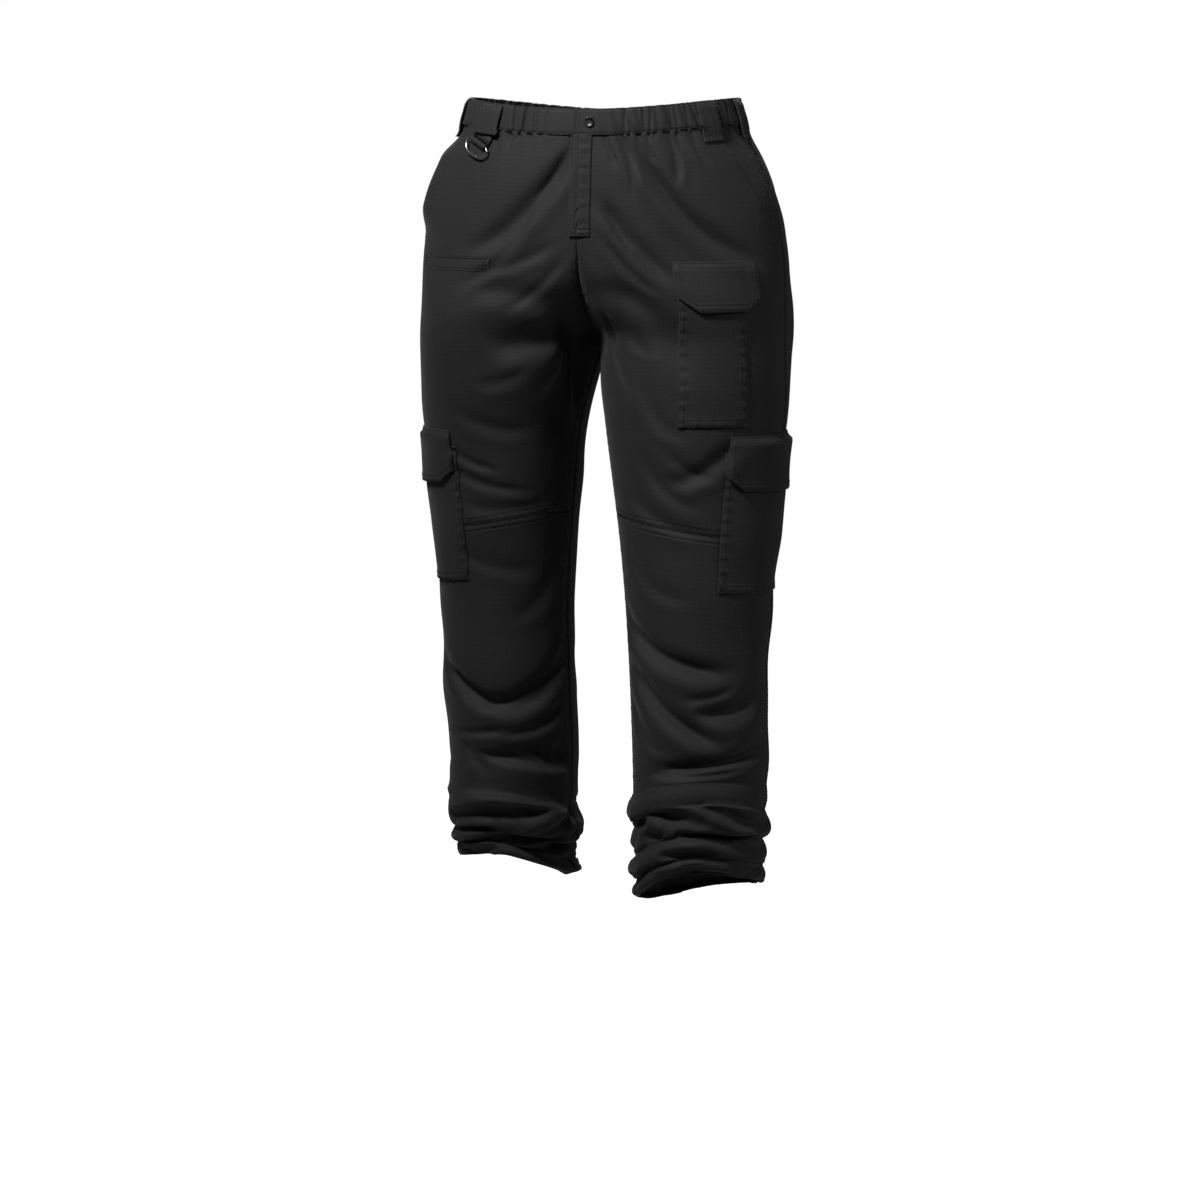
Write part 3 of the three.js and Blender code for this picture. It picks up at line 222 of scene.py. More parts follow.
# Elastic gathers of the waistband: the least and most of their spacing, half width, depth, lean and the
# distance that they run on below the band, and where the band lies flat
GATHER_SPACING = (6.0, 15.0)
GATHER_WIDTH = (1.4, 2.9)
GATHER_DEPTH = (1.0, 3.2)
GATHER_LEAN = (-0.22, 0.22)
GATHER_RUN = (5.0, 24.0)
GATHER_SEED = {"right": 11, "left": 5}
GATHER_REACH = (-238.0, 216.0)
GATHER_FADE = 9.0
GATHER_WIDENS = 26.0
PLAIN_BAND = {
    "right": [(74, 112), (156, 190), (-15, 15), (-240, -184)],
    "left": [(38, 78), (166, 240), (-15, 15), (-240, -184)],
}
# The strongest gathers in front: place, half width, depth, lean and the distance that they run on
FRONT_GATHERS = {
    "right": [
        (116, 2, 1.6, -0.1, 8), (125, 2.4, 2, 0.1, 12), (139, 2.6, 1.8, 0, 8), (151, 2.2, 1.6, 0.1, 6),
        (166, 2.6, 1.2, -0.1, 5), (64, 2, 1.6, 0.1, 8), (52, 2.2, 1.8, 0.15, 10),
    ],
    "left": [
        (153, 1.8, 1.8, 0.1, 9), (133, 1.6, 2.6, 0.05, 10), (103, 1.6, 3, 0, 30), (89, 1.6, 2.2, -0.2, 6),
        (76, 1.8, 2.6, -0.2, 9), (45, 2.2, 2.8, -0.2, 14), (37, 1.5, 2, -0.2, 8),
    ],
}
BAND_OUT = 1.2
BAND_THICK = 2.4
BAND_LAP = 3.0
# How far the panels reach up under the band
BAND_TUCK = 0.8
LAP_RISE = 0.6
LAP_FADE = (18, 32)

SLASH = [(28, 51), (62, 47), (87, 42), (116, 30), (150, 9)]
FACING_SINK = CLOTH + GAP
FLY_EDGE = {"right": 9.0, "left": 13.0}
FLY_GROOVE = 0.9

# Pockets and flaps: rows, and how far from the side seam they reach
CARGO = {"flap_top": 351, "top": 369, "flap_side": 397, "point": 411, "bottom": 521}
CARGO_SPAN = {"right": (-84, 106), "left": (-94, 96)}
# How much further forward a cargo pocket's front edge lies at its top than at its foot
CARGO_SLANT = {"right": 10, "left": 5}
CARGO_PUFF = {"right": 3.0, "left": 5.5}
CARGO_HANG = 60.0
CARGO_CORNER = {"right": (16, 22), "left": (18, 20)}
PHONE = {"flap_top": 165, "top": 181, "flap_side": 203, "point": 219, "bottom": 341}
PHONE_SPAN = (79, 154)
PHONE_FLAP_SPAN = (60, 154)
PHONE_PUFF = 1.5
PHONE_HANG = 40.0
PHONE_CORNER = (21, 24)
FLAP_PUFF = 2.0
FLAP_WAVE = 0.5
WELT_ROWS = (166, 177)
WELT_SPAN = (52, 154)
WELT_OUT = 0.2
WELT_LIP = 0.5
SLIT_DEPTH = 2.4
SLIT_HALF = 1.7

LOOP_CLOTH = 1.6
LOOP_RUN = [(2, 1.5), (7, 3.4), (16, 3.9), (26, 3.7), (33, 2.5), (38, 1), (43, 0.6)]
RING_LOOP_RUN = [(2, 1.5), (7, 3.7), (16, 4.6), (26, 4.9), (34, 4.9)]
LOOPS = [
    ("front_right", "right", 93, 16, RING_LOOP_RUN),
    ("front_left", "left", 61, 12, LOOP_RUN),
    ("side_right", "right", 0, 12, LOOP_RUN),
    ("side_left", "left", 0, 12, LOOP_RUN),
]
BACK_LOOP_HALF = 12.0

RING_ACROSS = 95.0
BAR_ROW = 43.5
BAR_LIFT = 3.8
WIRE = 1.2
RING_HALF = 18.8
RING_DROP = 15.0
RING_CORNER = 3.0
RING_SHOULDER = 1.5
RING_FLARE = 0.8
RING_BELLY = 0.9
TAB_HALF = 14.0
TAB_HOLE = 1.7
TAB_CLOTH = 1.2
TAB_OFF = 0.6
TAB_LENGTH = 12.5

BUTTON_ACROSS = 11.0
BUTTON_ROW = 14.0
BUTTON_RADIUS = 5.6
BUTTON_PROFILE = [(0, 0), (4.7, 0), (5.3, 0.3), (5.6, 0.9), (5.5, 1.5), (5.3, 1.9), (5.0, 2.15), (4.6, 2.2),
                  (4.2, 2.05), (3.8, 1.7), (3.2, 1.4), (2, 1.3), (0, 1.3)]
BUTTON_SIDES = 64

# How finely the cloth is divided, and the sewing
STEP = 2.5
FINE_STEP = 1.6
STACK_STEP = 1.1
STITCH_PITCH = 3.1
STITCH_LENGTH = 2.3
THREAD = 0.34
EDGE_ROW = 1.8
SECOND_ROW = 7.0
HEM_STITCH = 12.0
# How far the stitches of outer, inner and knee seams stand off the cloth's form
OUTER_LIFT = 0.45
INNER_LIFT = 0.4
KNEE_LIFTED = 0.5
# An edge with one row of stitches counts no further in than this
ONE_ROW = 4.0

# The camera: how far round to the wearer's left, distance, height above the waist, and where it aims
VIEW_ROUND = math.radians(14)
VIEW_AWAY = 5.0
VIEW_HEIGHT = 0.037
VIEW_SCALE = 0.00109
PHOTO_WIDTH = 1200
WAIST_COLUMN = 605
AIM_DROP_PIXELS = 530
SENSOR = 36.0
FLOOR_DROP = 1.03


# Smooth steps and curves

def smooth(low, high, x):
    t = np.clip((x - low) / (high - low), 0, 1)
    return t * t * (3 - 2 * t)


def within(x, start, end, fade):
    """1 from start to end, fading to 0 outside them."""
    return smooth(start - fade, start, x) * (1 - smooth(end, end + fade, x))


def curve_through(at, value):
    """A smooth line through the values, held level past both ends."""
    at = np.array(at, float)
    value = np.array(value, float)
    step = np.diff(at)
    rise = np.diff(value) / step
    slope = np.empty_like(value)
    slope[0] = rise[0]
    slope[-1] = rise[-1]
    slope[1:-1] = (step[:-1] * rise[1:] + step[1:] * rise[:-1]) / (step[:-1] + step[1:])

    def line(x):
        held = np.clip(x, at[0], at[-1])
        i = np.clip(np.searchsorted(at, held, side="right") - 1, 0, len(at) - 2)
        t = (held - at[i]) / step[i]
        return ((2 * t**3 - 3 * t**2 + 1) * value[i] + (t**3 - 2 * t**2 + t) * step[i] * slope[i]
                + (3 * t**2 - 2 * t**3) * value[i + 1] + (t**3 - t**2) * step[i] * slope[i + 1])
    return line


def columns_through(table):
    """One smooth line for each column of a table but its first, which holds the drops."""
    columns = list(zip(*table))
    return [curve_through(columns[0], column) for column in columns[1:]]


def signed_power(a, power):
    return np.sign(a) * np.abs(a) ** power


# The form: sections at even drops

ALONG = 360
TRACE = 720
DROP_STEP = 2
FIRST_DROP = -30
LAST_DROP = 880


def traced_oval(middle, out, inner, half, front, behind, square, start, end):
    """An oval traced by angle from -180 at its inner side, through -90 at the front and 0 outside, to 180."""
    angle = np.linspace(start, end, TRACE + 1)
    width = np.where(np.abs(angle) > 90, inner, half)
    depth = np.where(angle < 0, front, behind)
    turned = np.radians(angle)
    x = out + width * signed_power(np.cos(turned), 2 / square)
    y = middle + depth * signed_power(np.sin(turned), 2 / square)
    return np.stack([x, y], -1), angle


def spread_evenly(points):
    """The same line with its points evenly along it, and its length."""
    steps = np.linalg.norm(np.diff(points, axis=0), axis=1)
    done = np.concatenate([[0], np.cumsum(steps)])
    want = np.linspace(0, done[-1], ALONG + 1)
    return np.stack([np.interp(want, done, points[:, k]) for k in (0, 1)], -1), done[-1]


def body_section(torso, drop):
    """Half a section above the crotch, open at the middle, where it starts and ends on the rise."""
    half, front, behind = (float(line(drop)) for line in torso)
    t = np.clip((CROTCH_ROW - drop) / RISE_BEND, 0, 1)
    joined = smooth(0, 1, t)
    rise = (1 - (1 - t) ** RISE_SQUARENESS) ** (1 / RISE_SQUARENESS)
    square = THIGH_SQUARENESS + (TORSO_SQUARENESS - THIGH_SQUARENESS) * joined
    middle = THIGH_BACK * (1 - joined)
    out = LEAST_X + (half - LEAST_X) / 2 * (1 - joined)

    def cut_angle(reach, depth):
        return 180 - math.degrees(math.asin(np.clip(reach / depth, 0, 1) ** (square / 2)))

    front_reach = middle - THIGH_BACK + (front + THIGH_BACK) * rise
    back_reach = THIGH_BACK - middle + (behind - THIGH_BACK) * rise
    start = -cut_angle(front_reach, front + middle)
    end = cut_angle(back_reach, behind - middle)
    points, angle = traced_oval(middle, out, out - LEAST_X, half - out, front + middle, behind - middle,
                                square, start, end)
    first = points[0, 0] - LEAST_X
    last = points[-1, 0] - LEAST_X
    near_first = 1 - smooth(start, -CLOSING_ANGLE, angle)
    near_last = smooth(CLOSING_ANGLE, end, angle)
    points[:, 0] -= first * near_first + last * near_last
    return points


def leg_section(leg, drop):
    out, back, half, depth, square, turn = (float(line(drop)) for line in leg)
    points, _ = traced_oval(back, out, half, half, depth, depth, square, -180 + turn, 180 + turn)
    return points


def softened(values):
    """The same values smoothed down the body near the crotch, where the hips turn into the legs."""
    reach = int(3 * CROTCH_SOFT / DROP_STEP)
    steps = np.arange(-reach, reach + 1) * DROP_STEP
    weights = np.exp(-0.5 * (steps / CROTCH_SOFT) ** 2)
    weights /= weights.sum()
    spare = [(reach, reach)] + [(0, 0)] * (values.ndim - 1)
    padded = np.pad(values, spare, mode="edge")
    soft = sum(weight * padded[k:k + len(values)] for k, weight in enumerate(weights))
    drops = np.arange(FIRST_DROP, LAST_DROP + 1, DROP_STEP)
    near = np.exp(-(((drops - CROTCH_ROW) / CROTCH_REACH) ** 2)).reshape((-1,) + (1,) * (values.ndim - 1))
    return values * (1 - near) + soft * near


def table_sections(side):
    torso = columns_through(TORSO)
    leg = columns_through(LEG[side])
    sections, girths = [], []
    for drop in range(FIRST_DROP, LAST_DROP + 1, DROP_STEP):
        points = body_section(torso, drop) if drop < CROTCH_ROW else leg_section(leg, drop)
        even, length = spread_evenly(points)
        even[:, 0] = np.maximum(even[:, 0], LEAST_X)
        sections.append(even)
        girths.append(length)
    return softened(np.array(sections)), softened(np.array(girths))


SECTIONS = {}
GIRTHS = {}
for leg_name in SIGN:
    SECTIONS[leg_name], GIRTHS[leg_name] = table_sections(leg_name)
HEM_CURVE = {side: curve_through(*zip(*HEM[side])) for side in SIGN}
SLASH_CURVE = curve_through(*zip(*SLASH))


def girth(side, row):
    drops = np.arange(FIRST_DROP, LAST_DROP + 1, DROP_STEP)
    return np.interp(row, drops, GIRTHS[side])


def form_point(side, u, drop):
    """A point of the smooth form: u runs 0 to 1 round the half section from front to back."""
    table = SECTIONS[side]
    down = np.clip((drop - FIRST_DROP) / DROP_STEP, 0, len(table) - 1.001)
    along = np.clip(u, 0, 1) * ALONG
    i = down.astype(int)
    j = np.minimum(along.astype(int), ALONG - 1)
    t = (down - i)[..., None]
    s = (along - j)[..., None]
    flat = ((table[i, j] * (1 - s) + table[i, j + 1] * s) * (1 - t)
            + (table[i + 1, j] * (1 - s) + table[i + 1, j + 1] * s) * t)
    return np.stack([SIGN[side] * flat[..., 0], flat[..., 1], -drop], -1)


def unit(vectors):
    return vectors / np.maximum(np.linalg.norm(vectors, axis=-1, keepdims=True), 1e-9)


FORM_STEP_U = 0.006
FORM_STEP_DROP = 2.0


def form_normal(side, u, drop):
    across = form_point(side, u + FORM_STEP_U, drop) - form_point(side, u - FORM_STEP_U, drop)
    down = form_point(side, u, drop + FORM_STEP_DROP) - form_point(side, u, drop - FORM_STEP_DROP)
    return unit(np.cross(down, across) * SIGN[side])


def drop_of(side, u, row):
    """The drop below the waist of a row of the cloth: the waist, the knee seam and the hem aren't level."""
    waist = WAIST_MEAN + WAIST_WAVE * np.cos(2 * np.pi * u) + WAIST_BACK * u**2
    waist_share = 1 - smooth(*WAIST_FADE, row)
    knee = -KNEE_LIFT * ((1 + np.cos(2 * np.pi * u)) / 2) ** KNEE_PEAK
    knee_share = smooth(KNEE_FADE[0], KNEE_FADE[1], row) * (1 - smooth(KNEE_FADE[1], KNEE_FADE[2], row))
    hem = HEM_CURVE[side](u) - HEM_ROW
    height, turns, start = SWAY[side]
    sway = height * np.sin(2 * np.pi * (turns * u + start))
    sway_share = smooth(SWAY_FADE[0], SWAY_FADE[1], row) * (1 - smooth(SWAY_FADE[2], SWAY_FADE[3], row))
    return row + waist * waist_share + knee * knee_share + hem * smooth(*HEM_FADE, row) + sway * sway_share


def fold_place(fold, across, row):
    """The share of the way along a fold, and the distance below its bowed line."""
    across1, row1, across2, row2, bow = fold[:5]
    run_across = across2 - across1
    run_down = row2 - row1
    length = math.hypot(run_across, run_down)
    t = ((across - across1) * run_across + (row - row1) * run_down) / length**2
    facing = -1 if run_across < 0 else 1
    away = facing * ((row - row1) * run_across - (across - across1) * run_down) / length
    return t, away - bow * 4 * t * (1 - t)


def fold_push(fold, across, row):
    """How far one fold pushes the cloth out, less than 0 in its trough."""
    width, depth = fold[5:]
    t, away = fold_place(fold, across, row)
    ends = smooth(-FOLD_END, FOLD_END, t) * (1 - smooth(1 - FOLD_END, 1 + FOLD_END, t))
    push = -np.exp(-((away / width) ** 2))
    if depth > 0:
        push = push + FOLD_LIP * np.exp(-((away / width - FOLD_LIP_AWAY) ** 2))
    return depth * ends * push


def stack_shift(side, u, row):
    """The stacked ankle: how far the cloth bulges and sinks in its rolls."""
    rolls = ROLLS[side]
    out = np.zeros_like(row)
    down = np.zeros_like(row)
    for k, (top, bulge, fullest, varies) in enumerate(rolls):
        end = rolls[k + 1][0] if k + 1 < len(rolls) else HEM_ROW
        height = end - top
        t = np.clip((row - top) / height, 0, 1)
        belly = (1 - np.cos(2 * np.pi * t)) / 2
        inside = (row > top) & (row <= end)
        full = bulge * (1 - varies + varies * np.cos(2 * np.pi * (u - fullest)))
        sink = height * (ROLL_SAG * belly - ROLL_GATHER * np.sin(2 * np.pi * t) / (2 * np.pi))
        out = np.where(inside, full * belly, out)
        down = np.where(inside, sink, down)
    return out, down


def make_gathers(side):
    """Uneven gathers, shallow where the band lies flat under the loops and at the front."""
    chance = np.random.default_rng(GATHER_SEED[side])
    gathers = []
    place = GATHER_REACH[0]
    while place < GATHER_REACH[1]:
        fullness = 1.0
        for start, end in PLAIN_BAND[side]:
            fullness *= 1 - within(place, start, end, GATHER_FADE)
        width, depth, lean, run = (
            chance.uniform(*limits) for limits in (GATHER_WIDTH, GATHER_DEPTH, GATHER_LEAN, GATHER_RUN)
        )
        gathers.append((place, width, depth * fullness, lean, run))
        place += chance.uniform(*GATHER_SPACING)
    return gathers + FRONT_GATHERS[side]


GATHERS = {side: make_gathers(side) for side in SIGN}


def gather_push(side, around, row):
    """The troughs of the gathers, which lean on the band and run out below it."""
    push = np.zeros(np.broadcast(around, row).shape)
    below = np.maximum(row - BAND_ROW, 0)
    for place, width, depth, lean, run in GATHERS[side]:
        away = (around - place - lean * (row - BAND_ROW / 2)) / (width * (1 + below / GATHER_WIDENS))
        push = push - depth * np.exp(-(away**2) - below / run)
    return push


def crease_push(crease, across, row):
    """A lens-shaped slot that is steep above, where a roll hangs over it, and eases out below."""
    width, depth = crease[5:]
    t, away = fold_place(crease, across, row)
    lens = np.sqrt(np.sin(np.pi * np.clip(t, 0, 1)))
    half = width * (0.5 + 0.5 * lens)
    slot = np.exp(-((away / np.where(away > 0, CREASE_BELOW * half, half)) ** 2))
    roll = np.exp(-(((away + 2.4 * half) / (1.7 * half)) ** 2))
    return depth * lens * (CREASE_ROLL * roll - slot)


def wrinkle_push(side, u, row):
    """The stacked ankle's loose creases between puffed folds, which wander as they go round the leg."""
    spacing, depth, start = WRINKLES[side]
    turn = 2 * np.pi * u
    bend = (0.55 * np.sin(2 * turn + start) + 0.34 * np.sin(5 * turn + 2 * start + row / 40)
            + 0.2 * np.sin(9 * turn - row / 23))
    puff = np.abs(np.sin(np.pi * (row / spacing + bend))) ** 0.75
    uneven = 0.65 + 0.35 * np.sin(3 * turn + row / 21 + start)
    in_front = smooth(0, 0.08, u) * (1 - smooth(0.4, 0.52, u))
    calm = 1 - (1 - WRINKLE_IN_FRONT) * in_front
    return depth * uneven * calm * (puff - 0.6) * smooth(*WRINKLE_FADE, row)


def drape_push(side, across, row, u):
    """Slight waves of cloth that hangs loose, none at the inseam and the middle."""
    start = DRAPE_START[side]
    slow = np.sin(row / 21 + across / 34 + 1.5 * np.sin(across / 55 + row / 95 + start))
    quick = np.sin(row / 12.5 - across / 41 + 1.2 * np.sin(across / 29 + start))
    loose = DRAPE[0] + (DRAPE[1] - DRAPE[0]) * smooth(260, 640, row)
    return loose * (slow + 0.5 * quick) * 4 * u * (1 - u) * smooth(BAND_ROW, 90, row)


def cloth_point(side, across, row):
    """A point on the cloth, with its folds and the gathers that run down from the band."""
    u = np.clip(FRONT_SHARE - across / girth(side, row), 0, 1)
    drop = drop_of(side, u, row)
    push, down = stack_shift(side, u, row)
    folds = sum(fold_push(fold, across, row) for fold in LARGE_FOLDS[side] + FINE_CREASES[side])
    folds = folds + sum(crease_push(crease, across, row) for crease in STACK_CREASES[side])
    push = push + folds * smooth(0, FOLD_HELD, u) * (1 - smooth(1 - FOLD_HELD, 1, u))
    below_band = smooth(BAND_ROW - 1, BAND_ROW, row)
    push = push + gather_push(side, across * girth(side, BAND_ROW) / girth(side, row), row) * below_band
    push = push + wrinkle_push(side, u, row) + drape_push(side, across, row, u)
    return form_point(side, u, drop + down) + form_normal(side, u, drop + down) * push[..., None]


CLOTH_REACH = 2.0


def spots(side, across, row):
    """Places on the cloth with the way out from it and their place in the cut, as arrays of one shape."""
    across, row = np.broadcast_arrays(np.asarray(across, float), np.asarray(row, float))
    low = -girth(side, row) * (1 - FRONT_SHARE)
    high = girth(side, row) * FRONT_SHARE
    held = np.clip(across, low + CLOTH_REACH, high - CLOTH_REACH)
    round_body = cloth_point(side, held - CLOTH_REACH, row) - cloth_point(side, held + CLOTH_REACH, row)
    down = cloth_point(side, across, row + CLOTH_REACH) - cloth_point(side, across, row - CLOTH_REACH)
    normal = unit(np.cross(down, round_body) * SIGN[side])
    return {
        "point": cloth_point(side, across, row),
        "normal": normal,
        "cut": np.stack([across, row], -1),
        "sign": np.full(across.shape, SIGN[side]),
    }


def beside(first, second):
    """Two grids of places joined side by side."""
    return {key: np.concatenate([first[key], second[key]], axis=1) for key in first}


def line_of(places, at):
    """The places along one line of a grid."""
    return {key: places[key][at] for key in places}


def lifted(places, lift, free=False):
    moved = places["point"] + places["normal"] * np.asarray(lift)[..., None]
    if not free:
        moved[..., 0] = places["sign"] * np.maximum(moved[..., 0] * places["sign"], LEAST_X)
    return moved


# Meshes

def grid_mesh(name, points, cut, edge, keep=None):
    """A mesh on a grid of points, with UVs from the cut and the distance in from its sewn edge."""
    rows, columns = points.shape[:2]
    index = np.arange(rows * columns).reshape(rows, columns)
    corners = np.stack([index[:-1, :-1], index[1:, :-1], index[1:, 1:], index[:-1, 1:]], -1)
    cells = corners.reshape(-1, 4)
    if keep is not None:
        cells = cells[keep.reshape(-1)]
    mesh = bpy.data.meshes.new(name)
    mesh.from_pydata((points.reshape(-1, 3) * MM).tolist(), [], cells.tolist())
    uv = mesh.uv_layers.new(name="cut")
    loops = np.empty(len(mesh.loops), dtype=np.int64)
    mesh.loops.foreach_get("vertex_index", loops)
    uv.data.foreach_set("uv", (cut.reshape(-1, 2)[loops] * MM).ravel())
    sewn = mesh.attributes.new("sewn", "FLOAT", "POINT")
    sewn.data.foreach_set("value", edge.reshape(-1).astype(np.float32))
    mesh.shade_smooth()
    return mesh


def outward(mesh, normals):
    """Turns the mesh's faces to the side that the cloth faces."""
    middle = mesh.polygons[len(mesh.polygons) // 2]
    wanted = Vector(normals.reshape(-1, 3)[middle.vertices[0]])
    if middle.normal.dot(wanted) < 0:
        mesh.flip_normals()


def piece_of(name, mesh, material, body="trousers"):
    piece = bpy.data.objects.new(name, mesh)
    bpy.context.scene.collection.objects.link(piece)
    mesh.materials.append(material)
    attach(piece, body)
    return piece


def grid_area(points):
    along = points[1:, :-1] - points[:-1, :-1]
    across = points[:-1, 1:] - points[:-1, :-1]
    return np.linalg.norm(np.cross(along, across), axis=-1)


def cloth_piece(name, places, lift, material, nodes, edge, keep=None, free=False, thick=CLOTH):
    """A thin sheet of cloth whose inner face lies at the lift, sewn into the garment."""
    points = lifted(places, np.asarray(lift) + thick, free)
    mesh = grid_mesh(name, points, places["cut"], edge, keep)
    outward(mesh, places["normal"])
    piece = piece_of(name, mesh, material)
    wall = piece.modifiers.new("wall", "SOLIDIFY")
    wall.thickness = thick * MM
    wall.offset = -1
    wall.use_rim = True
    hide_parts(*nodes)
    area = grid_area(points)
    if keep is not None:
        area = area[keep]
    return piece


# Sewing: each row of stitches is a line of points, in millimetres

STITCH_LINES = []
TACK_LINES = []


def stitch(side, across, row, lift):
    """A row of stitches along places on the cloth."""
    across, row, lift = np.broadcast_arrays(np.asarray(across, float), np.asarray(row, float), lift)
    STITCH_LINES.append(lifted(spots(side, across, row), lift, free=True))


def stitch_through(places, lift):
    STITCH_LINES.append(lifted(places, lift, free=True))


def even(start, end, step=STEP):
    count = max(2, int(round(abs(end - start) / step)) + 1)
    return np.linspace(start, end, count)


def share(count):
    return np.linspace(0, 1, count)


def pucker(run, away, height, pitch=13.0, reach=9.0):
    """Small uneven puckers along a sewn edge: run is along it and away the distance from it."""
    turns = 2 * np.pi * run / pitch
    wave = np.sin(turns + 1.3 * np.sin(run / 31)) + 0.5 * np.sin(turns / 0.61 + 2)
    return height * wave * np.exp(-((away / reach) ** 2))


def seam_lift(away, height=0.35, dip=0.55):
    """The turned allowance under a seam's edge: the edge dips into the seam and stands prouder beside it."""
    return height * smooth(0, 2.5, away) * (1 - smooth(8.5, 13, away)) - dip * np.exp(-((away / 1.4) ** 2))


def rise_lift(away, row):
    """The lift beside the middle seam, whose edges don't dip where they turn under to the crotch."""
    turned_under = smooth(120, 150, row) * (1 - smooth(CROTCH_ROW + 4, CROTCH_ROW + 20, row))
    return seam_lift(away, dip=0) + seam_lift(away, height=0) * (1 - turned_under)


# Panels

def front_reach(side, row):
    return girth(side, row) * FRONT_SHARE


def back_reach(side, row):
    return girth(side, row) * (1 - FRONT_SHARE)


def front_from(row):
    return np.where(row <= SLASH_END_ROW, SLASH_CURVE(row), -SEAM_LAP)


def stack_rows():
    """Rows from the knee to the hem, closer together where the ankle is stacked."""
    loose = even(KNEE_ROW - SEAM_LAP, WRINKLE_FADE[0], STEP * 0.8)
    stacked = even(WRINKLE_FADE[0], HEM_ROW, STACK_STEP)
    return np.concatenate([loose, stacked[1:]])


def upper_front(side, cloth):
    rows = even(BAND_ROW - BAND_TUCK, KNEE_ROW + SEAM_LAP)[:, None]
    start = front_from(rows)
    end = front_reach(side, rows)
    columns = share(int(230 / STEP))[None, :]
    across = start + (end - start) * columns
    row = rows + 0 * across
    from_outer = across - start
    from_inner = end - across
    from_knee = KNEE_ROW - row
    edge = np.minimum(np.minimum(from_outer, from_inner), from_knee)
    lift = seam_lift(from_outer) + rise_lift(from_inner, row) + seam_lift(from_knee, 0.15, 0.2) - CLOTH
    lift = lift + pucker(row, from_inner, 0.35) * smooth(150, 200, row) * smooth(0, 2.5, from_inner)
    lift = lift + pucker(across, from_knee, 0.2, reach=6)
    if side == "right":
        beside_fly = (from_inner - FLY_EDGE["right"] - 0.6) / 1.3
        above_end = 1 - smooth(FLY_END_ROW - 2, FLY_END_ROW + 3, row)
        lift = lift - FLY_GROOVE * np.exp(-(beside_fly**2)) * above_end
        slit = SLIT_DEPTH * np.exp(-(((row - WELT_ROWS[0]) / SLIT_HALF) ** 2))
        lift = lift - slit * within(across, *WELT_SPAN, 4)
    places = spots(side, across, row)
    cloth_piece(f"front_{side}_cloth", places, lift, cloth, [f"front_{side}"], edge)
    slash_rows = even(BAND_ROW + 1, SLASH_END_ROW - 6)
    for away in (EDGE_ROW, SECOND_ROW):
        stitch(side, SLASH_CURVE(slash_rows) + away, slash_rows, OUTER_LIFT)
    seam_rows = even(SLASH_END_ROW + 4, KNEE_ROW - 2)
    stitch(side, EDGE_ROW + GAP / 2, seam_rows, OUTER_LIFT)
    inner_rows = even(FLY_END_ROW + 6, KNEE_ROW - 2)
    stitch(side, front_reach(side, inner_rows) - EDGE_ROW, inner_rows, INNER_LIFT)
    knee = even(6, float(front_reach(side, KNEE_ROW)) - 3)
    for away in (EDGE_ROW, SECOND_ROW):
        stitch(side, knee, KNEE_ROW - away, KNEE_LIFTED)


def lower_front(side, cloth):
    rows = stack_rows()[:, None]
    end = front_reach(side, rows)
    columns = share(int(165 / STEP))[None, :]
    across = (end + SEAM_LAP) * columns - SEAM_LAP
    row = rows + 0 * across
    from_outer = across
    from_inner = end - across
    from_knee = row - KNEE_ROW
    edge = np.minimum(np.minimum(from_outer, from_inner), from_knee)
    lift = seam_lift(from_outer) + seam_lift(from_inner) + seam_lift(from_knee, 0.0, 0.2) - CLOTH
    lift = lift + pucker(across, from_knee, 0.2, reach=6)
    lift = lift + pucker(row, from_inner, 0.4) + pucker(row, from_outer, 0.4)
    places = spots(side, across, row)
    cloth_piece(f"front_lower_{side}_cloth", places, lift, cloth, [f"front_lower_{side}"], edge)
    down = even(KNEE_ROW + 2, HEM_ROW - 4)
    stitch(side, EDGE_ROW + GAP / 2, down, OUTER_LIFT)
    stitch(side, front_reach(side, down) - EDGE_ROW, down, INNER_LIFT)
    hem = even(3, float(front_reach(side, HEM_ROW)) - 3)
    stitch(side, hem, HEM_ROW - HEM_STITCH, INNER_LIFT)


def back_panel(side, cloth):
    rows = even(BAND_ROW - BAND_TUCK, HEM_ROW, STEP * 0.94)[:, None]
    end = back_reach(side, rows)
    columns = share(int(262 / STEP))[::-1][None, :]
    across = SEAM_LAP - (end + SEAM_LAP) * columns
    row = rows + 0 * across
    from_outer = -across
    from_inner = end + across
    edge = np.minimum(from_outer, from_inner)
    lift = seam_lift(from_outer) + rise_lift(from_inner, row) - CLOTH
    lift = lift + pucker(row, from_inner, 0.4) * smooth(0, 2.5, from_inner) + pucker(row, from_outer, 0.4)
    cloth_piece(f"back_{side}_cloth", spots(side, across, row), lift, cloth, [f"back_{side}"], edge)
    down = even(BAND_ROW + 3, HEM_ROW - 4)
    for away in (EDGE_ROW, SECOND_ROW):
        stitch(side, -away - GAP / 2, down, OUTER_LIFT)
        stitch(side, -(back_reach(side, down) - away), down, INNER_LIFT)
    hem = even(3, float(back_reach(side, HEM_ROW)) - 3)
    stitch(side, -hem, HEM_ROW - HEM_STITCH, INNER_LIFT)


def hip_facing(side, cloth):
    rows = even(BAND_ROW - BAND_TUCK, SLASH_END_ROW - GAP)[:, None]
    end = SLASH_CURVE(rows) * 1.5
    columns = share(26)[None, :]
    across = (end + SEAM_LAP) * columns - SEAM_LAP
    row = rows + 0 * across
    sink = FACING_SINK * smooth(0, 9, across)
    edge = across
    places = spots(side, across, row)
    name = f"hip_facing_{side}"
    cloth_piece(f"{name}_cloth", places, -sink - CLOTH, cloth, [name], edge)


# Waistband, fly and welt

def band_scale(side, row):
    return girth(side, row) / girth(side, BAND_ROW / 2)


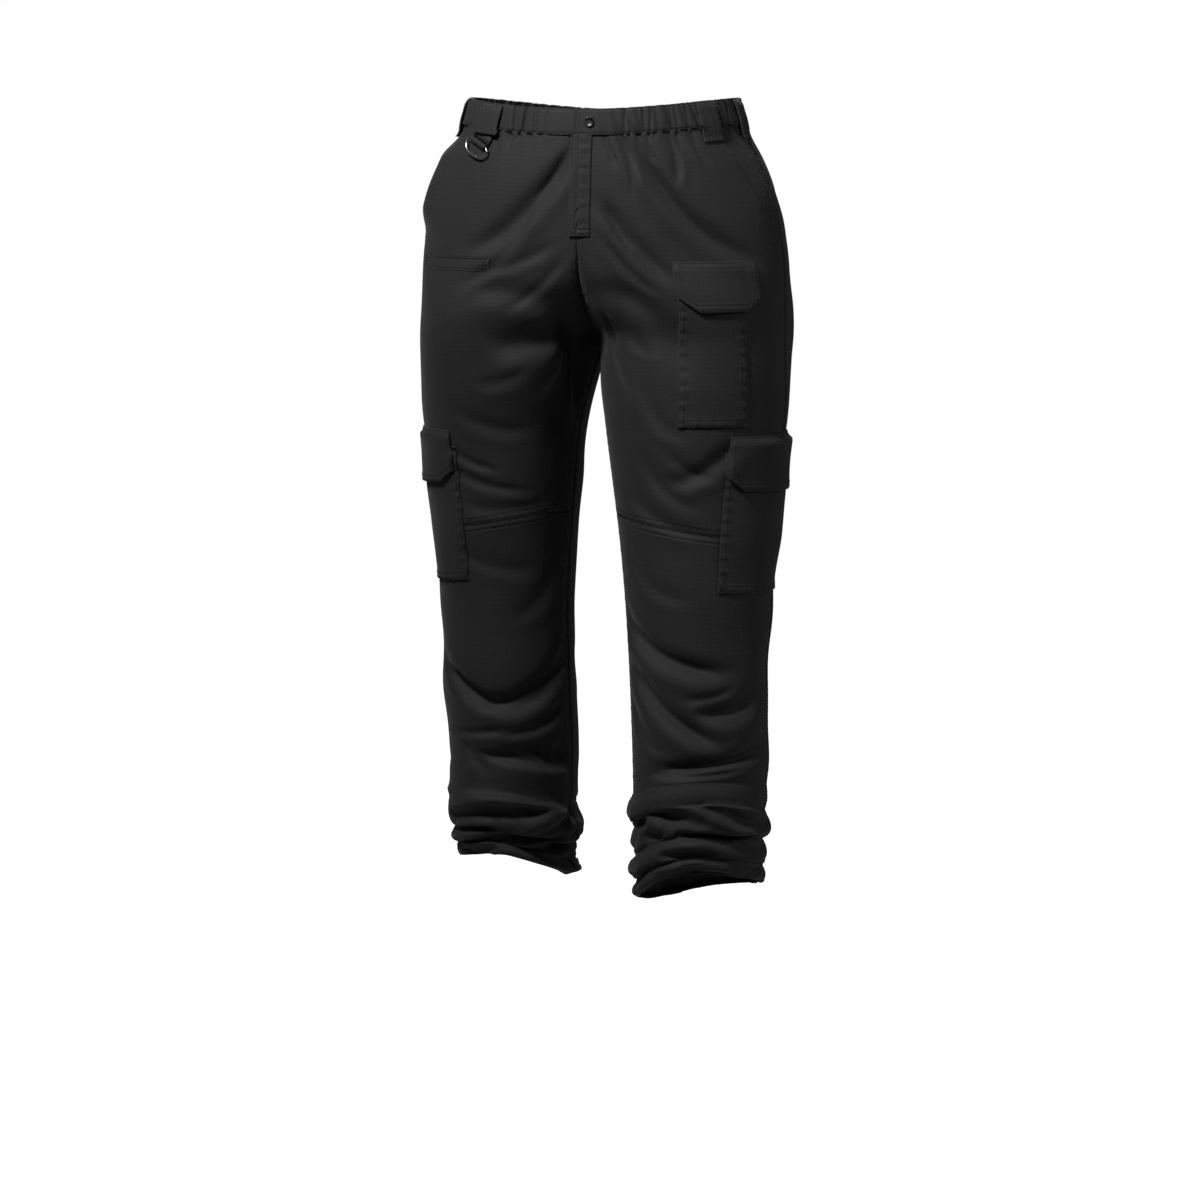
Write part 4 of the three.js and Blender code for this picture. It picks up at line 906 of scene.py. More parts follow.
def band_places(side, start, end, rows):
    around = even(start, end, 1.4)[None, :]
    across = around * band_scale(side, rows)
    places = spots(side, across, rows + 0 * across)
    return places, around + 0 * across


def band_lift(side, around, row):
    """Gathers on a band that is a little fuller in its middle."""
    belly = 0.3 * np.sin(np.pi * np.clip(row / BAND_ROW, 0, 1))
    return gather_push(side, around, row) + belly + 0.1


def band_piece(name, parts, cloth, node):
    rows = even(0, BAND_ROW - 0.15, 1.4)[:, None]
    places = None
    lifts = []
    for side, start, end, rise in parts:
        grid, around = band_places(side, start, end, rows)
        lifts.append(band_lift(side, around, rows) + rise(around) - BAND_OUT)
        places = grid if places is None else beside(places, grid)
    lift = np.concatenate(lifts, axis=1)
    row = rows + 0 * lift
    edge = np.minimum(np.minimum(row, BAND_ROW - row), ONE_ROW)
    cloth_piece(name, places, lift, cloth, [node], edge, free=True, thick=BAND_THICK)
    for line_row in (EDGE_ROW, BAND_ROW - EDGE_ROW):
        at = int(round(line_row / (BAND_ROW - 0.15) * (len(rows) - 1)))
        stitch_through(line_of(places, at), lift[at] + BAND_THICK + 0.15)


def waistband(cloth):
    right_end = float(girth("right", BAND_ROW / 2)) * FRONT_SHARE
    left_end = float(girth("left", BAND_ROW / 2)) * FRONT_SHARE
    back_end = float(girth("left", BAND_ROW / 2)) * (1 - FRONT_SHARE)

    def flat(around):
        return 0 * around

    def lap(around):
        return LAP_RISE * (1 - smooth(*LAP_FADE, left_end - around))

    def over(around):
        return LAP_RISE + 0 * around

    band_piece("waistband_right_cloth", [
        ("right", -SEAM_LAP, right_end - BAND_LAP - GAP, flat),
    ], cloth, "waistband_right")
    band_piece("waistband_left_cloth", [
        ("left", -SEAM_LAP, left_end, lap), ("right", right_end - 0.5, right_end - BAND_LAP - 1, over),
    ], cloth, "waistband_left")
    band_piece("waistband_back_cloth", [
        ("right", SEAM_LAP, -back_end + 0.7, flat), ("left", -back_end + 0.7, SEAM_LAP, flat),
    ], cloth, "waistband_back")


def fly(cloth):
    rows = even(BAND_ROW - BAND_TUCK, FLY_END_ROW, FINE_STEP)[:, None]
    right_reach = front_reach("right", rows)
    left_reach = front_reach("left", rows)
    steps = share(9)[None, :]
    right = spots("right", right_reach - FLY_EDGE["right"] * (1 - steps), rows + 0 * steps)
    left = spots("left", left_reach - (FLY_EDGE["left"] + 1) * steps, rows + 0 * steps)
    places = beside(right, left)
    away_right = FLY_EDGE["right"] * steps + 0 * rows
    away_left = (FLY_EDGE["left"] + 1) * (1 - steps) + 0 * rows
    from_edge = np.concatenate([away_right, FLY_EDGE["left"] + away_left], axis=1)
    from_edge = np.minimum(from_edge, FLY_END_ROW - rows)
    from_sewn = np.concatenate([away_right + FLY_EDGE["left"], away_left], axis=1)
    lift = GAP - (CLOTH + 0.15) * (1 - smooth(0, FLY_EDGE["left"], from_sewn))
    lift = lift + pucker(rows, from_sewn - SECOND_ROW, 0.3, pitch=14, reach=5) * smooth(0, 3, from_sewn)
    cloth_piece("fly_cloth", places, lift, cloth, ["fly_placket"], from_edge, free=True)
    down = even(BAND_ROW + 2, FLY_END_ROW - 2, FINE_STEP)
    for away in (EDGE_ROW, SECOND_ROW):
        stitch("left", front_reach("left", down) - FLY_EDGE["left"] - 1 + away, down, 0.3 + away / 9)
    foot = even(1, FLY_EDGE["left"] - 2, FINE_STEP)
    stitch("left", front_reach("left", FLY_END_ROW) - foot, FLY_END_ROW - EDGE_ROW, GAP + CLOTH + 0.1)


def thigh_welt(cloth):
    top, bottom = WELT_ROWS
    rows = even(top, bottom, 1.0)[:, None]
    across = even(*WELT_SPAN, FINE_STEP)[None, :]
    row = rows + 0 * across
    edge = np.minimum(row - top, bottom - row)
    ends = np.minimum(across - WELT_SPAN[0], WELT_SPAN[1] - across)
    lip = WELT_LIP * (1 - smooth(top + 1, top + 5, row)) * smooth(0, 6, ends)
    lift = WELT_OUT - CLOTH + lip
    cloth_piece("thigh_welt_cloth", spots("right", across + 0 * row, row), lift, cloth, ["thigh_welt"], edge)
    run = even(WELT_SPAN[0] + 1, WELT_SPAN[1] - 1, FINE_STEP)
    stitch("right", run, bottom - EDGE_ROW, WELT_OUT + 0.15)
    for end in WELT_SPAN:
        bar_tack("right", end, end, top - 3, bottom - 2, WELT_OUT + 0.3)


def bar_tack(side, across1, across2, row1, row2, lift):
    """Close zigzag stitches that lock the end of a seam."""
    count = int(math.hypot(across2 - across1, row2 - row1) / 0.55)
    t = share(2 * count)
    zigzag = 1.1 * np.where(np.arange(2 * count) % 2 == 0, 1, -1)
    run = math.hypot(across2 - across1, row2 - row1)
    across = across1 + (across2 - across1) * t + zigzag * (row2 - row1) / run
    row = row1 + (row2 - row1) * t - zigzag * (across2 - across1) / run
    TACK_LINES.append(lifted(spots(side, across, row), lift, free=True))


# Pockets and flaps

def puff_at(across, row, span, bottom, hang, puff):
    sideways = np.sin(np.pi * np.clip((across - span[0]) / (span[1] - span[0]), 0, 1))
    down = 1 - smooth(bottom - hang, bottom, row)
    return puff * np.sqrt(np.maximum(sideways, 0)) * down


def slant_at(slant, row, rows_of):
    """How far a pocket's front edge lies ahead of its middle place."""
    return slant * (0.5 - (row - rows_of["top"]) / (rows_of["bottom"] - rows_of["top"]))


def pocket(name, side, span, rows_of, puff, hang, cloth, slant=0.0):
    rows = even(rows_of["top"], rows_of["bottom"], FINE_STEP * 1.2)[:, None]
    front_edge = span[1] + slant_at(slant, rows, rows_of)
    steps = share(int((span[1] - span[0]) / (FINE_STEP * 1.2)))[None, :]
    across = span[0] + (front_edge - span[0]) * steps
    row = rows + 0 * across
    from_first = across - span[0]
    from_last = front_edge - across
    from_bottom = rows_of["bottom"] - row
    sides = np.minimum(from_first, from_last)
    edge = np.minimum(sides, from_bottom)
    lift = GAP + puff_at(across, row, span, rows_of["bottom"], hang, puff)
    lift = lift + pucker(row, sides, 0.55) * smooth(0, 3, sides) + pucker(across, from_bottom, 0.3)
    lift = lift + 0.5 * smooth(0, 2, edge) * (1 - smooth(7.5, 11, edge))
    places = spots(side, across, row)
    cloth_piece(f"{name}_cloth", places, np.maximum(lift, 0.1), cloth, [name], edge)
    top = GAP + CLOTH + 0.6
    for away in (EDGE_ROW, SECOND_ROW):
        down = even(rows_of["top"] + 2, rows_of["bottom"] - away)
        for at in (span[0] + away + 0 * down, span[1] - away + slant_at(slant, down, rows_of)):
            rise = puff_at(at, down, span, rows_of["bottom"], hang, puff)
            stitch(side, at, down, top + rise + pucker(down, away, 0.55))
        foot = even(span[0] + away, span[1] - slant / 2 - away)
        stitch(side, foot, rows_of["bottom"] - away, top + pucker(foot, away, 0.3))


def flap(name, side, span, rows_of, corner, pocket_span, puff, cloth):
    """A flap with its two low corners cut off."""
    rows = even(rows_of["flap_top"], rows_of["point"], FINE_STEP)[:, None]
    first_corner, last_corner = corner
    low = rows_of["point"] - rows_of["flap_side"]
    cut = np.clip((rows - rows_of["flap_side"]) / low, 0, 1)
    start = span[0] + first_corner * cut
    end = span[1] - last_corner * cut
    across = start + (end - start) * share(int((span[1] - span[0]) / FINE_STEP))[None, :]
    row = rows + 0 * across
    from_top = row - rows_of["flap_top"]
    from_bottom = rows_of["point"] - row
    edge = np.minimum(np.minimum(across - start, end - across), from_bottom)

    def rise(at_across, at_row):
        """How far the flap stands off, over the pocket's edge and more towards its foot."""
        down = at_row - rows_of["flap_top"]
        over = CLOTH + GAP + puff_at(at_across, rows_of["top"], pocket_span, rows_of["bottom"], 1.0, puff)
        hang = FLAP_PUFF * down / (rows_of["point"] - rows_of["flap_top"])
        wave = FLAP_WAVE * np.sin(at_across / 15) * smooth(8, 40, down)
        return GAP + over * smooth(1, 9, down) + hang + wave

    turned_in = 0.45 * smooth(0, 2, edge) * (1 - smooth(7.5, 10, edge))
    lift = rise(across, row) + turned_in - 0.35 * np.exp(-(((from_top - 6) / 2) ** 2))
    places = spots(side, across, row)
    cloth_piece(f"{name}_cloth", places, lift, cloth, [name], np.minimum(edge, from_top))
    for away in (EDGE_ROW, SECOND_ROW):
        a, b = span[0] + away, span[1] - away
        side_end = rows_of["flap_side"] - away * 0.5
        foot = rows_of["point"] - away
        line_across = np.concatenate([
            np.full(12, a), np.linspace(a, span[0] + first_corner, 8)[1:],
            np.linspace(span[0] + first_corner, span[1] - last_corner, 30)[1:],
            np.linspace(span[1] - last_corner, b, 8)[1:], np.full(12, b)[1:],
        ])
        line_row = np.concatenate([
            np.linspace(rows_of["flap_top"] + 2, side_end, 12), np.linspace(side_end, foot, 8)[1:],
            np.full(30, foot)[1:], np.linspace(foot, side_end, 8)[1:],
            np.linspace(side_end, rows_of["flap_top"] + 2, 12)[1:],
        ])
        stitch(side, line_across, line_row, rise(line_across, line_row) + CLOTH + 0.45)
        top_run = even(a, b)
        top_row = rows_of["flap_top"] + away
        stitch(side, top_run, top_row, rise(top_run, top_row) + CLOTH + 0.15)


def pockets(cloth):
    for side in SIGN:
        span = CARGO_SPAN[side]
        slant = CARGO_SLANT[side]
        pocket(f"cargo_pocket_{side}", side, span, CARGO, CARGO_PUFF[side], CARGO_HANG, cloth, slant)
        flap(f"cargo_flap_{side}", side, span, CARGO, CARGO_CORNER[side], span, CARGO_PUFF[side], cloth)
    pocket("phone_pocket", "left", PHONE_SPAN, PHONE, PHONE_PUFF, PHONE_HANG, cloth)
    flap("phone_flap", "left", PHONE_FLAP_SPAN, PHONE, PHONE_CORNER, PHONE_SPAN, PHONE_PUFF, cloth)


# Loops, ring, tab and button

def loop_piece(name, node, places, lift, half, cloth):
    away = half - np.abs(np.linspace(-half, half, lift.shape[1]))[None, :] + 0 * lift
    rounded = lift - 0.5 * np.exp(-((away / 1.0) ** 2))
    cloth_piece(name, places, rounded, cloth, [node], away, free=True, thick=LOOP_CLOTH)
    rim = lift.shape[1] - 1
    inner = int(round(rim * 2.2 / (2 * half)))
    for column in (inner, rim - inner):
        line = line_of(places, (slice(None), column))
        stitch_through(line, lift[:, column] + LOOP_CLOTH + 0.1)


def belt_loops(cloth):
    for name, side, across, half, run in LOOPS:
        at, rise = zip(*run)
        rows = even(at[0], at[-1], 1.2)[:, None]
        around = np.linspace(across - half, across + half, 19)[None, :]
        places = spots(side, around * band_scale(side, rows), rows + 0 * around)
        lift = curve_through(at, rise)(rows) + 0 * around
        loop_piece(f"belt_loop_{name}_cloth", f"belt_loop_{name}", places, lift, half, cloth)
    at, rise = zip(*LOOP_RUN)
    rows = even(at[0], at[-1], 1.2)[:, None]
    steps = np.linspace(BACK_LOOP_HALF, 0.05, 10)[None, :]
    right = spots("right", -(girth("right", rows) * (1 - FRONT_SHARE) - steps), rows + 0 * steps)
    left = spots("left", -(girth("left", rows) * (1 - FRONT_SHARE) - steps[:, ::-1]), rows + 0 * steps)
    places = beside(right, left)
    lift = curve_through(at, rise)(rows) + np.zeros((1, 20))
    loop_piece("belt_loop_back_cloth", "belt_loop_back", places, lift, BACK_LOOP_HALF, cloth)


def cloth_frame(side, across, row, lift, reach):
    """A frame on the cloth in millimetres: x round the body, y up the cloth, z out from it."""
    place = spots(side, np.array([across]), np.array([row]))
    point = place["point"][0]
    normal = place["normal"][0]
    up = unit(cloth_point(side, np.array([across]), np.array([row - reach]))[0] - point)
    round_body = unit(np.cross(up, normal))
    out = np.cross(round_body, up)
    turned = np.stack([round_body, up, out], 1)
    return turned, point + out * lift


def wire_mesh(name, path, radius, sides, turned, at):
    """A round wire along a closed flat path."""
    ahead = np.roll(path, -1, axis=0)
    behind = np.roll(path, 1, axis=0)
    along = unit(ahead - behind)
    angle = 2 * np.pi * np.arange(sides) / sides
    aside = radius * np.cos(angle)[None, :, None]
    up = radius * np.sin(angle)[None, :, None] * np.ones((len(path), 1, 1))
    normal = np.stack([along[:, 1], -along[:, 0]], -1)[:, None, :]
    flat = path[:, None, :] + normal * aside
    local = np.concatenate([flat, up], -1).reshape(-1, 3)
    points = (local @ turned.T + at) * MM
    faces = []
    count = len(path)
    for k in range(count):
        for s in range(sides):
            a = k * sides + s
            b = k * sides + (s + 1) % sides
            c = ((k + 1) % count) * sides + (s + 1) % sides
            d = ((k + 1) % count) * sides + s
            faces.append((a, b, c, d))
    mesh = bpy.data.meshes.new(name)
    mesh.from_pydata(points.tolist(), [], faces)
    mesh.shade_smooth()
    face_outward(mesh)
    return mesh


def face_outward(mesh):
    """Turns a closed mesh the right way out by the sign of its volume."""
    volume = 0.0
    for polygon in mesh.polygons:
        corners = [mesh.vertices[v].co for v in polygon.vertices]
        for k in range(1, len(corners) - 1):
            volume += corners[0].dot(corners[k].cross(corners[k + 1]))
    if volume < 0:
        mesh.flip_normals()


def ring_path():
    straight = RING_HALF - RING_CORNER
    bar = np.stack([np.linspace(-straight, straight, 12), np.zeros(12)], -1)
    angle = np.linspace(0, np.pi, 66)[1:-1]
    x = RING_HALF * signed_power(np.cos(angle), RING_FLARE)
    y = -RING_SHOULDER - (RING_DROP - RING_SHOULDER) * np.sin(angle) ** RING_BELLY
    return np.concatenate([bar, np.stack([x, y], -1)])


def ring_and_tab(cloth, steel):
    turned, at = cloth_frame("right", RING_ACROSS, BAR_ROW, BAR_LIFT, TAB_LENGTH)
    mesh = wire_mesh("ring_wire", ring_path(), WIRE, 20, turned, at)
    ring = piece_of("ring_wire", mesh, steel, "ring")
    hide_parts("d_ring")
    back = TAB_OFF - BAR_LIFT
    middle = TAB_HOLE + TAB_CLOTH / 2
    low = math.asin(max(-1, (back + TAB_CLOTH / 2) / middle))
    high = math.asin(min(1, (back + 1.5 * TAB_CLOTH) / middle))
    bend = np.linspace(high, 2 * np.pi + low, 30)
    profile = [(TAB_LENGTH, back + 1.5 * TAB_CLOTH)]
    profile += [(middle * math.cos(a), middle * math.sin(a)) for a in bend]
    profile += [(TAB_LENGTH, back + 0.5 * TAB_CLOTH)]
    profile = np.array(profile)
    width = np.linspace(-TAB_HALF, TAB_HALF, 23)
    local = np.zeros((len(profile), len(width), 3))
    local[..., 0] = width[None, :]
    local[..., 1] = profile[:, 0, None]
    local[..., 2] = profile[:, 1, None]
    points = local @ turned.T + at
    along = np.concatenate([[0], np.cumsum(np.linalg.norm(np.diff(profile, axis=0), axis=1))])
    cut = np.stack(np.broadcast_arrays(width[None, :], along[:, None]), -1)
    edge = np.broadcast_to(TAB_HALF - np.abs(width)[None, :], cut.shape[:2])
    tab_mesh = grid_mesh("ring_tab_cloth", points, cut, edge)
    first = tab_mesh.polygons[len(width) // 2]
    if first.normal.dot(Vector(turned[:, 2])) < 0:
        tab_mesh.flip_normals()
    tab = piece_of("ring_tab_cloth", tab_mesh, cloth)
    wall = tab.modifiers.new("wall", "SOLIDIFY")
    wall.thickness = TAB_CLOTH * MM
    wall.offset = 0
    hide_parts("ring_tab")


def button(metal):
    centre = float(girth("left", BUTTON_ROW)) * FRONT_SHARE
    lift = BAND_OUT + LAP_RISE + GAP
    turned, at = cloth_frame("left", centre - BUTTON_ACROSS, BUTTON_ROW, lift, BUTTON_RADIUS)
    profile = np.array(BUTTON_PROFILE, float)
    angle = 2 * np.pi * np.arange(BUTTON_SIDES) / BUTTON_SIDES
    rings = profile[1:-1]
    local = np.stack([
        rings[:, 0, None] * np.cos(angle), rings[:, 0, None] * np.sin(angle), rings[:, 1, None] + 0 * angle,
    ], -1).reshape(-1, 3)
    local = np.concatenate([local, [[0, 0, profile[0, 1]]], [[0, 0, profile[-1, 1]]]])
    bottom = len(local) - 2
    top = len(local) - 1
    faces = []
    for k in range(BUTTON_SIDES):
        after = (k + 1) % BUTTON_SIDES
        for r in range(len(rings) - 1):
            low = r * BUTTON_SIDES
            high = low + BUTTON_SIDES
            faces.append((low + k, low + after, high + after, high + k))
        faces.append((bottom, after, k))
        last = (len(rings) - 1) * BUTTON_SIDES
        faces.append((top, last + k, last + after))
    mesh = bpy.data.meshes.new("waist_button_metal")
    mesh.from_pydata(((local @ turned.T + at) * MM).tolist(), [], faces)
    mesh.shade_smooth()
    face_outward(mesh)
    piece = piece_of("waist_button_metal", mesh, metal)
    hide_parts("waist_button")


# Node trees

class Tree:
    """A short way to add and join nodes in a material's or a group's tree."""

    def __init__(self, tree):
        self.tree = tree

    def add(self, kind, inputs=None, **settings):
        node = self.tree.nodes.new(kind)
        for key, value in settings.items():
            setattr(node, key, value)
        for key, value in (inputs or {}).items():
            if isinstance(value, bpy.types.NodeSocket):
                self.tree.links.new(value, node.inputs[key])
            else:
                node.inputs[key].default_value = value
        return node

    def math(self, operation, a, b=0.0, c=0.0):
        return self.add("ShaderNodeMath", {0: a, 1: b, 2: c}, operation=operation).outputs[0]

    def mix(self, factor, first, second):
        inputs = {"Factor": factor, "A": first, "B": second}
        return self.add("ShaderNodeMix", inputs, data_type="RGBA").outputs["Result"]

    def noise(self, where, scale, detail, roughness=0.5):
        inputs = {"Vector": where, "Scale": scale, "Detail": detail, "Roughness": roughness}
        return self.add("ShaderNodeTexNoise", inputs).outputs["Fac"]

    def bump(self, height, strength, distance, under=None):
        inputs = {"Height": height, "Strength": strength, "Distance": distance}
        if under is not None:
            inputs["Normal"] = under
        return self.add("ShaderNodeBump", inputs).outputs["Normal"]


def new_group(name, kind, inputs, outputs):
    tree = bpy.data.node_groups.new(name, kind)
    for label, socket, value in inputs:
        made = tree.interface.new_socket(label, in_out="INPUT", socket_type=f"NodeSocket{socket}")
        if value is not None:
            made.default_value = value
    for label, socket in outputs:
        tree.interface.new_socket(label, in_out="OUTPUT", socket_type=f"NodeSocket{socket}")
    return Tree(tree), tree.nodes.new("NodeGroupInput").outputs, tree.nodes.new("NodeGroupOutput").inputs


def new_material(name, constants):
    """A material, its tree and its surface, on whose own sockets the constant values are set."""
    material = bpy.data.materials.new(name)
    material.use_nodes = True
    surface = material.node_tree.nodes["Principled BSDF"]
    for key, value in constants.items():
        surface.inputs[key].default_value = value
    return material, Tree(material.node_tree), surface.inputs


# Stitches by Geometry Nodes

def socket_id(tree, name):
    for item in tree.interface.items_tree:
        if item.name == name and item.in_out == "INPUT":
            return item.identifier
    raise KeyError(name)


def stitch_tree():
    """Short threads set along the edges of a mesh."""
    tree, given, result = new_group("stitches", "GeometryNodeTree", [
        ("Lines", "Geometry", None), ("Pitch", "Float", None), ("Length", "Float", None),
        ("Thread radius", "Float", None), ("Thread", "Material", None),
    ], [("Stitches", "Geometry")])
    curve = tree.add("GeometryNodeMeshToCurve", {"Mesh": given["Lines"]}).outputs["Curve"]
    evenly = tree.add("GeometryNodeResampleCurve", {"Curve": curve, "Length": given["Pitch"]}, mode="LENGTH")
    tangent = tree.add("GeometryNodeInputTangent").outputs["Tangent"]
    along = tree.add("FunctionNodeAlignEulerToVector", {"Vector": tangent}, axis="Z")
    thread = tree.add("GeometryNodeMeshUVSphere", {"Segments": 6, "Rings": 3, "Radius": 1.0})
    radius = given["Thread radius"]
    half = tree.math("MULTIPLY", given["Length"], 0.5)
    size = tree.add("ShaderNodeCombineXYZ", {"X": radius, "Y": radius, "Z": half})
    placed = tree.add("GeometryNodeInstanceOnPoints", {
        "Points": evenly.outputs["Curve"], "Instance": thread.outputs["Mesh"],
        "Rotation": along.outputs["Rotation"], "Scale": size.outputs["Vector"],
    })
    real = tree.add("GeometryNodeRealizeInstances", {"Geometry": placed.outputs["Instances"]})
    shaded = tree.add("GeometryNodeSetShadeSmooth", {"Geometry": real.outputs["Geometry"]})
    painted = tree.add("GeometryNodeSetMaterial", {
        "Geometry": shaded.outputs["Geometry"], "Material": given["Thread"],
    })
    tree.tree.links.new(painted.outputs["Geometry"], result["Stitches"])
    return tree.tree


def sewing(name, lines, pitch, length, radius, tree, thread):
    """One mesh of stitches along every line."""
    points, edges = [], []
    for line in lines:
        start = len(points)
        points += (np.asarray(line) * MM).tolist()
        edges += [(start + k, start + k + 1) for k in range(len(line) - 1)]
    mesh = bpy.data.meshes.new(f"{name}_lines")
    mesh.from_pydata(points, edges, [])
    guide = bpy.data.objects.new(f"{name}_lines", mesh)
    bpy.context.scene.collection.objects.link(guide)
    modifier = guide.modifiers.new("stitches", "NODES")
    modifier.node_group = tree
    modifier[socket_id(tree, "Pitch")] = pitch * MM
    modifier[socket_id(tree, "Length")] = length * MM
    modifier[socket_id(tree, "Thread radius")] = radius * MM
    modifier[socket_id(tree, "Thread")] = thread
    bpy.context.view_layer.update()
    seen = guide.evaluated_get(bpy.context.evaluated_depsgraph_get())
    made = bpy.data.meshes.new_from_object(seen)
    bpy.data.objects.remove(guide)
    made.name = name
    piece = bpy.data.objects.new(name, made)
    bpy.context.scene.collection.objects.link(piece)
    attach(piece, "trousers")
    return piece


# Materials

def weave_group():
    """Ripstop: a plain weave crossed by a grid of thicker yarns."""
    shader, given, result = new_group("ripstop weave", "ShaderNodeTree", [
        ("Cut", "Vector", None), ("Square", "Float", 0.0048), ("Yarn", "Float", 0.0006),
        ("Rib width", "Float", 0.16),
    ], [("Ribs", "Float"), ("Height", "Float")])
    parts = shader.add("ShaderNodeSeparateXYZ", {0: given["Cut"]})
    ribs, yarns = [], []
    for axis in ("X", "Y"):
        squares = shader.math("DIVIDE", parts.outputs[axis], given["Square"])
        away = shader.math("ABSOLUTE", shader.math("SUBTRACT", shader.math("FRACT", squares), 0.5))
        rib = shader.math("SUBTRACT", given["Rib width"], away)
        ribs.append(shader.math("MULTIPLY", shader.math("MAXIMUM", rib, 0.0), 6.0))
        turns = shader.math("DIVIDE", parts.outputs[axis], given["Yarn"])
        yarns.append(shader.math("SINE", shader.math("MULTIPLY", turns, math.pi)))
    rib = shader.math("MAXIMUM", ribs[0], ribs[1])
    weave = shader.math("ABSOLUTE", shader.math("MULTIPLY", yarns[0], yarns[1]))
    shader.tree.links.new(rib, result["Ribs"])
    shader.tree.links.new(shader.math("ADD", shader.math("MULTIPLY", weave, 0.5), rib), result["Height"])
    return shader.tree


def seam_group():
    """Grooves where rows of stitches pull the cloth down, and cloth rubbed paler on the ridge at the edge."""
    shader, given, result = new_group("sewn rows", "ShaderNodeTree", [
        ("Sewn", "Float", 30.0), ("First row", "Float", EDGE_ROW), ("Second row", "Float", SECOND_ROW),
        ("Width", "Float", 0.9),
    ], [("Rubbed", "Float"), ("Height", "Float")])
    grooves = []
    for row in ("First row", "Second row"):
        away = shader.math("SUBTRACT", given["Sewn"], given[row])
        near = shader.math("DIVIDE", away, given["Width"])
        squared = shader.math("MULTIPLY", near, near)
        grooves.append(shader.math("EXPONENT", shader.math("MULTIPLY", squared, -1.0)))
    near_edge = shader.math("DIVIDE", given["Sewn"], 1.1)
    rubbed = shader.math("EXPONENT", shader.math("MULTIPLY", near_edge, -1.0))
    shader.tree.links.new(rubbed, result["Rubbed"])
    depth = shader.math("ADD", grooves[0], grooves[1])
    shader.tree.links.new(shader.math("MULTIPLY", depth, -1.0), result["Height"])
    return shader.tree


CLOTH_DARK = (0.0095, 0.0095, 0.0104, 1)
CLOTH_PALE = (0.0185, 0.0185, 0.0198, 1)
CLOTH_RUBBED = (0.040, 0.040, 0.042, 1)
THREAD_DARK = (0.010, 0.010, 0.011, 1)
THREAD_PALE = (0.026, 0.026, 0.028, 1)
RING_DARK = (0.45, 0.45, 0.46, 1)
RING_PALE = (0.75, 0.75, 0.76, 1)
BUTTON_DARK = (0.02, 0.02, 0.022, 1)
BUTTON_PALE = (0.12, 0.12, 0.125, 1)


def ripstop(name, weave, sewn_rows):
    material, shader, surface = new_material(name, {
        "Sheen Weight": 0.08, "Sheen Roughness": 0.45, "Specular IOR Level": 0.35,
    })
    cut = shader.add("ShaderNodeUVMap", uv_map="cut").outputs["UV"]
    edge = shader.add("ShaderNodeAttribute", attribute_name="sewn").outputs["Fac"]
    where = shader.add("ShaderNodeTexCoord").outputs["Object"]
    woven = shader.add("ShaderNodeGroup", {"Cut": cut}, node_tree=weave).outputs
    rows = shader.add("ShaderNodeGroup", {"Sewn": edge}, node_tree=sewn_rows).outputs
    cloud = shader.noise(where, 14.0, 5.0, 0.6)
    slub = shader.noise(where, 420.0, 2.0)
    tone = shader.math("ADD", shader.math("MULTIPLY", cloud, 0.7), shader.math("MULTIPLY", slub, 0.3))
    tone = shader.math("ADD", tone, shader.math("MULTIPLY", woven["Ribs"], 0.45))
    base = shader.mix(tone, CLOTH_DARK, CLOTH_PALE)
    rubbed = shader.math("MULTIPLY", rows["Rubbed"], shader.math("MULTIPLY", slub, 0.4))
    shader.tree.links.new(shader.mix(rubbed, base, CLOTH_RUBBED), surface["Base Color"])
    rough = shader.math("ADD", 0.66, shader.math("MULTIPLY", cloud, 0.16))
    shader.tree.links.new(rough, surface["Roughness"])
    fine = shader.bump(woven["Height"], 0.5, 0.00012)
    grooved = shader.bump(rows["Height"], 0.8, 0.0006, fine)
    rumpled = shader.bump(shader.noise(where, 55.0, 3.0, 0.55), 0.35, 0.0012, grooved)
    shader.tree.links.new(rumpled, surface["Normal"])
    return material


def thread_material():
    material, shader, surface = new_material("black thread", {"Roughness": 0.5})
    where = shader.add("ShaderNodeTexCoord").outputs["Object"]
    twist = shader.add("ShaderNodeTexWave", {"Vector": where, "Scale": 900.0, "Distortion": 0.5})
    tone = shader.mix(twist.outputs["Fac"], THREAD_DARK, THREAD_PALE)
    shader.tree.links.new(tone, surface["Base Color"])
    return material


def metal(name, dark, pale, roughness):
    material, shader, surface = new_material(name, {"Metallic": 1.0})
    where = shader.add("ShaderNodeTexCoord").outputs["Object"]
    smudge = shader.noise(where, 260.0, 4.0)
    shader.tree.links.new(shader.mix(smudge, dark, pale), surface["Base Color"])
    rough = shader.math("ADD", roughness, shader.math("MULTIPLY", smudge, 0.15))
    shader.tree.links.new(rough, surface["Roughness"])
    scratched = shader.bump(shader.noise(where, 1500.0, 2.0), 0.15, 0.00005)
    shader.tree.links.new(scratched, surface["Normal"])
    return material


# Camera, light and floor

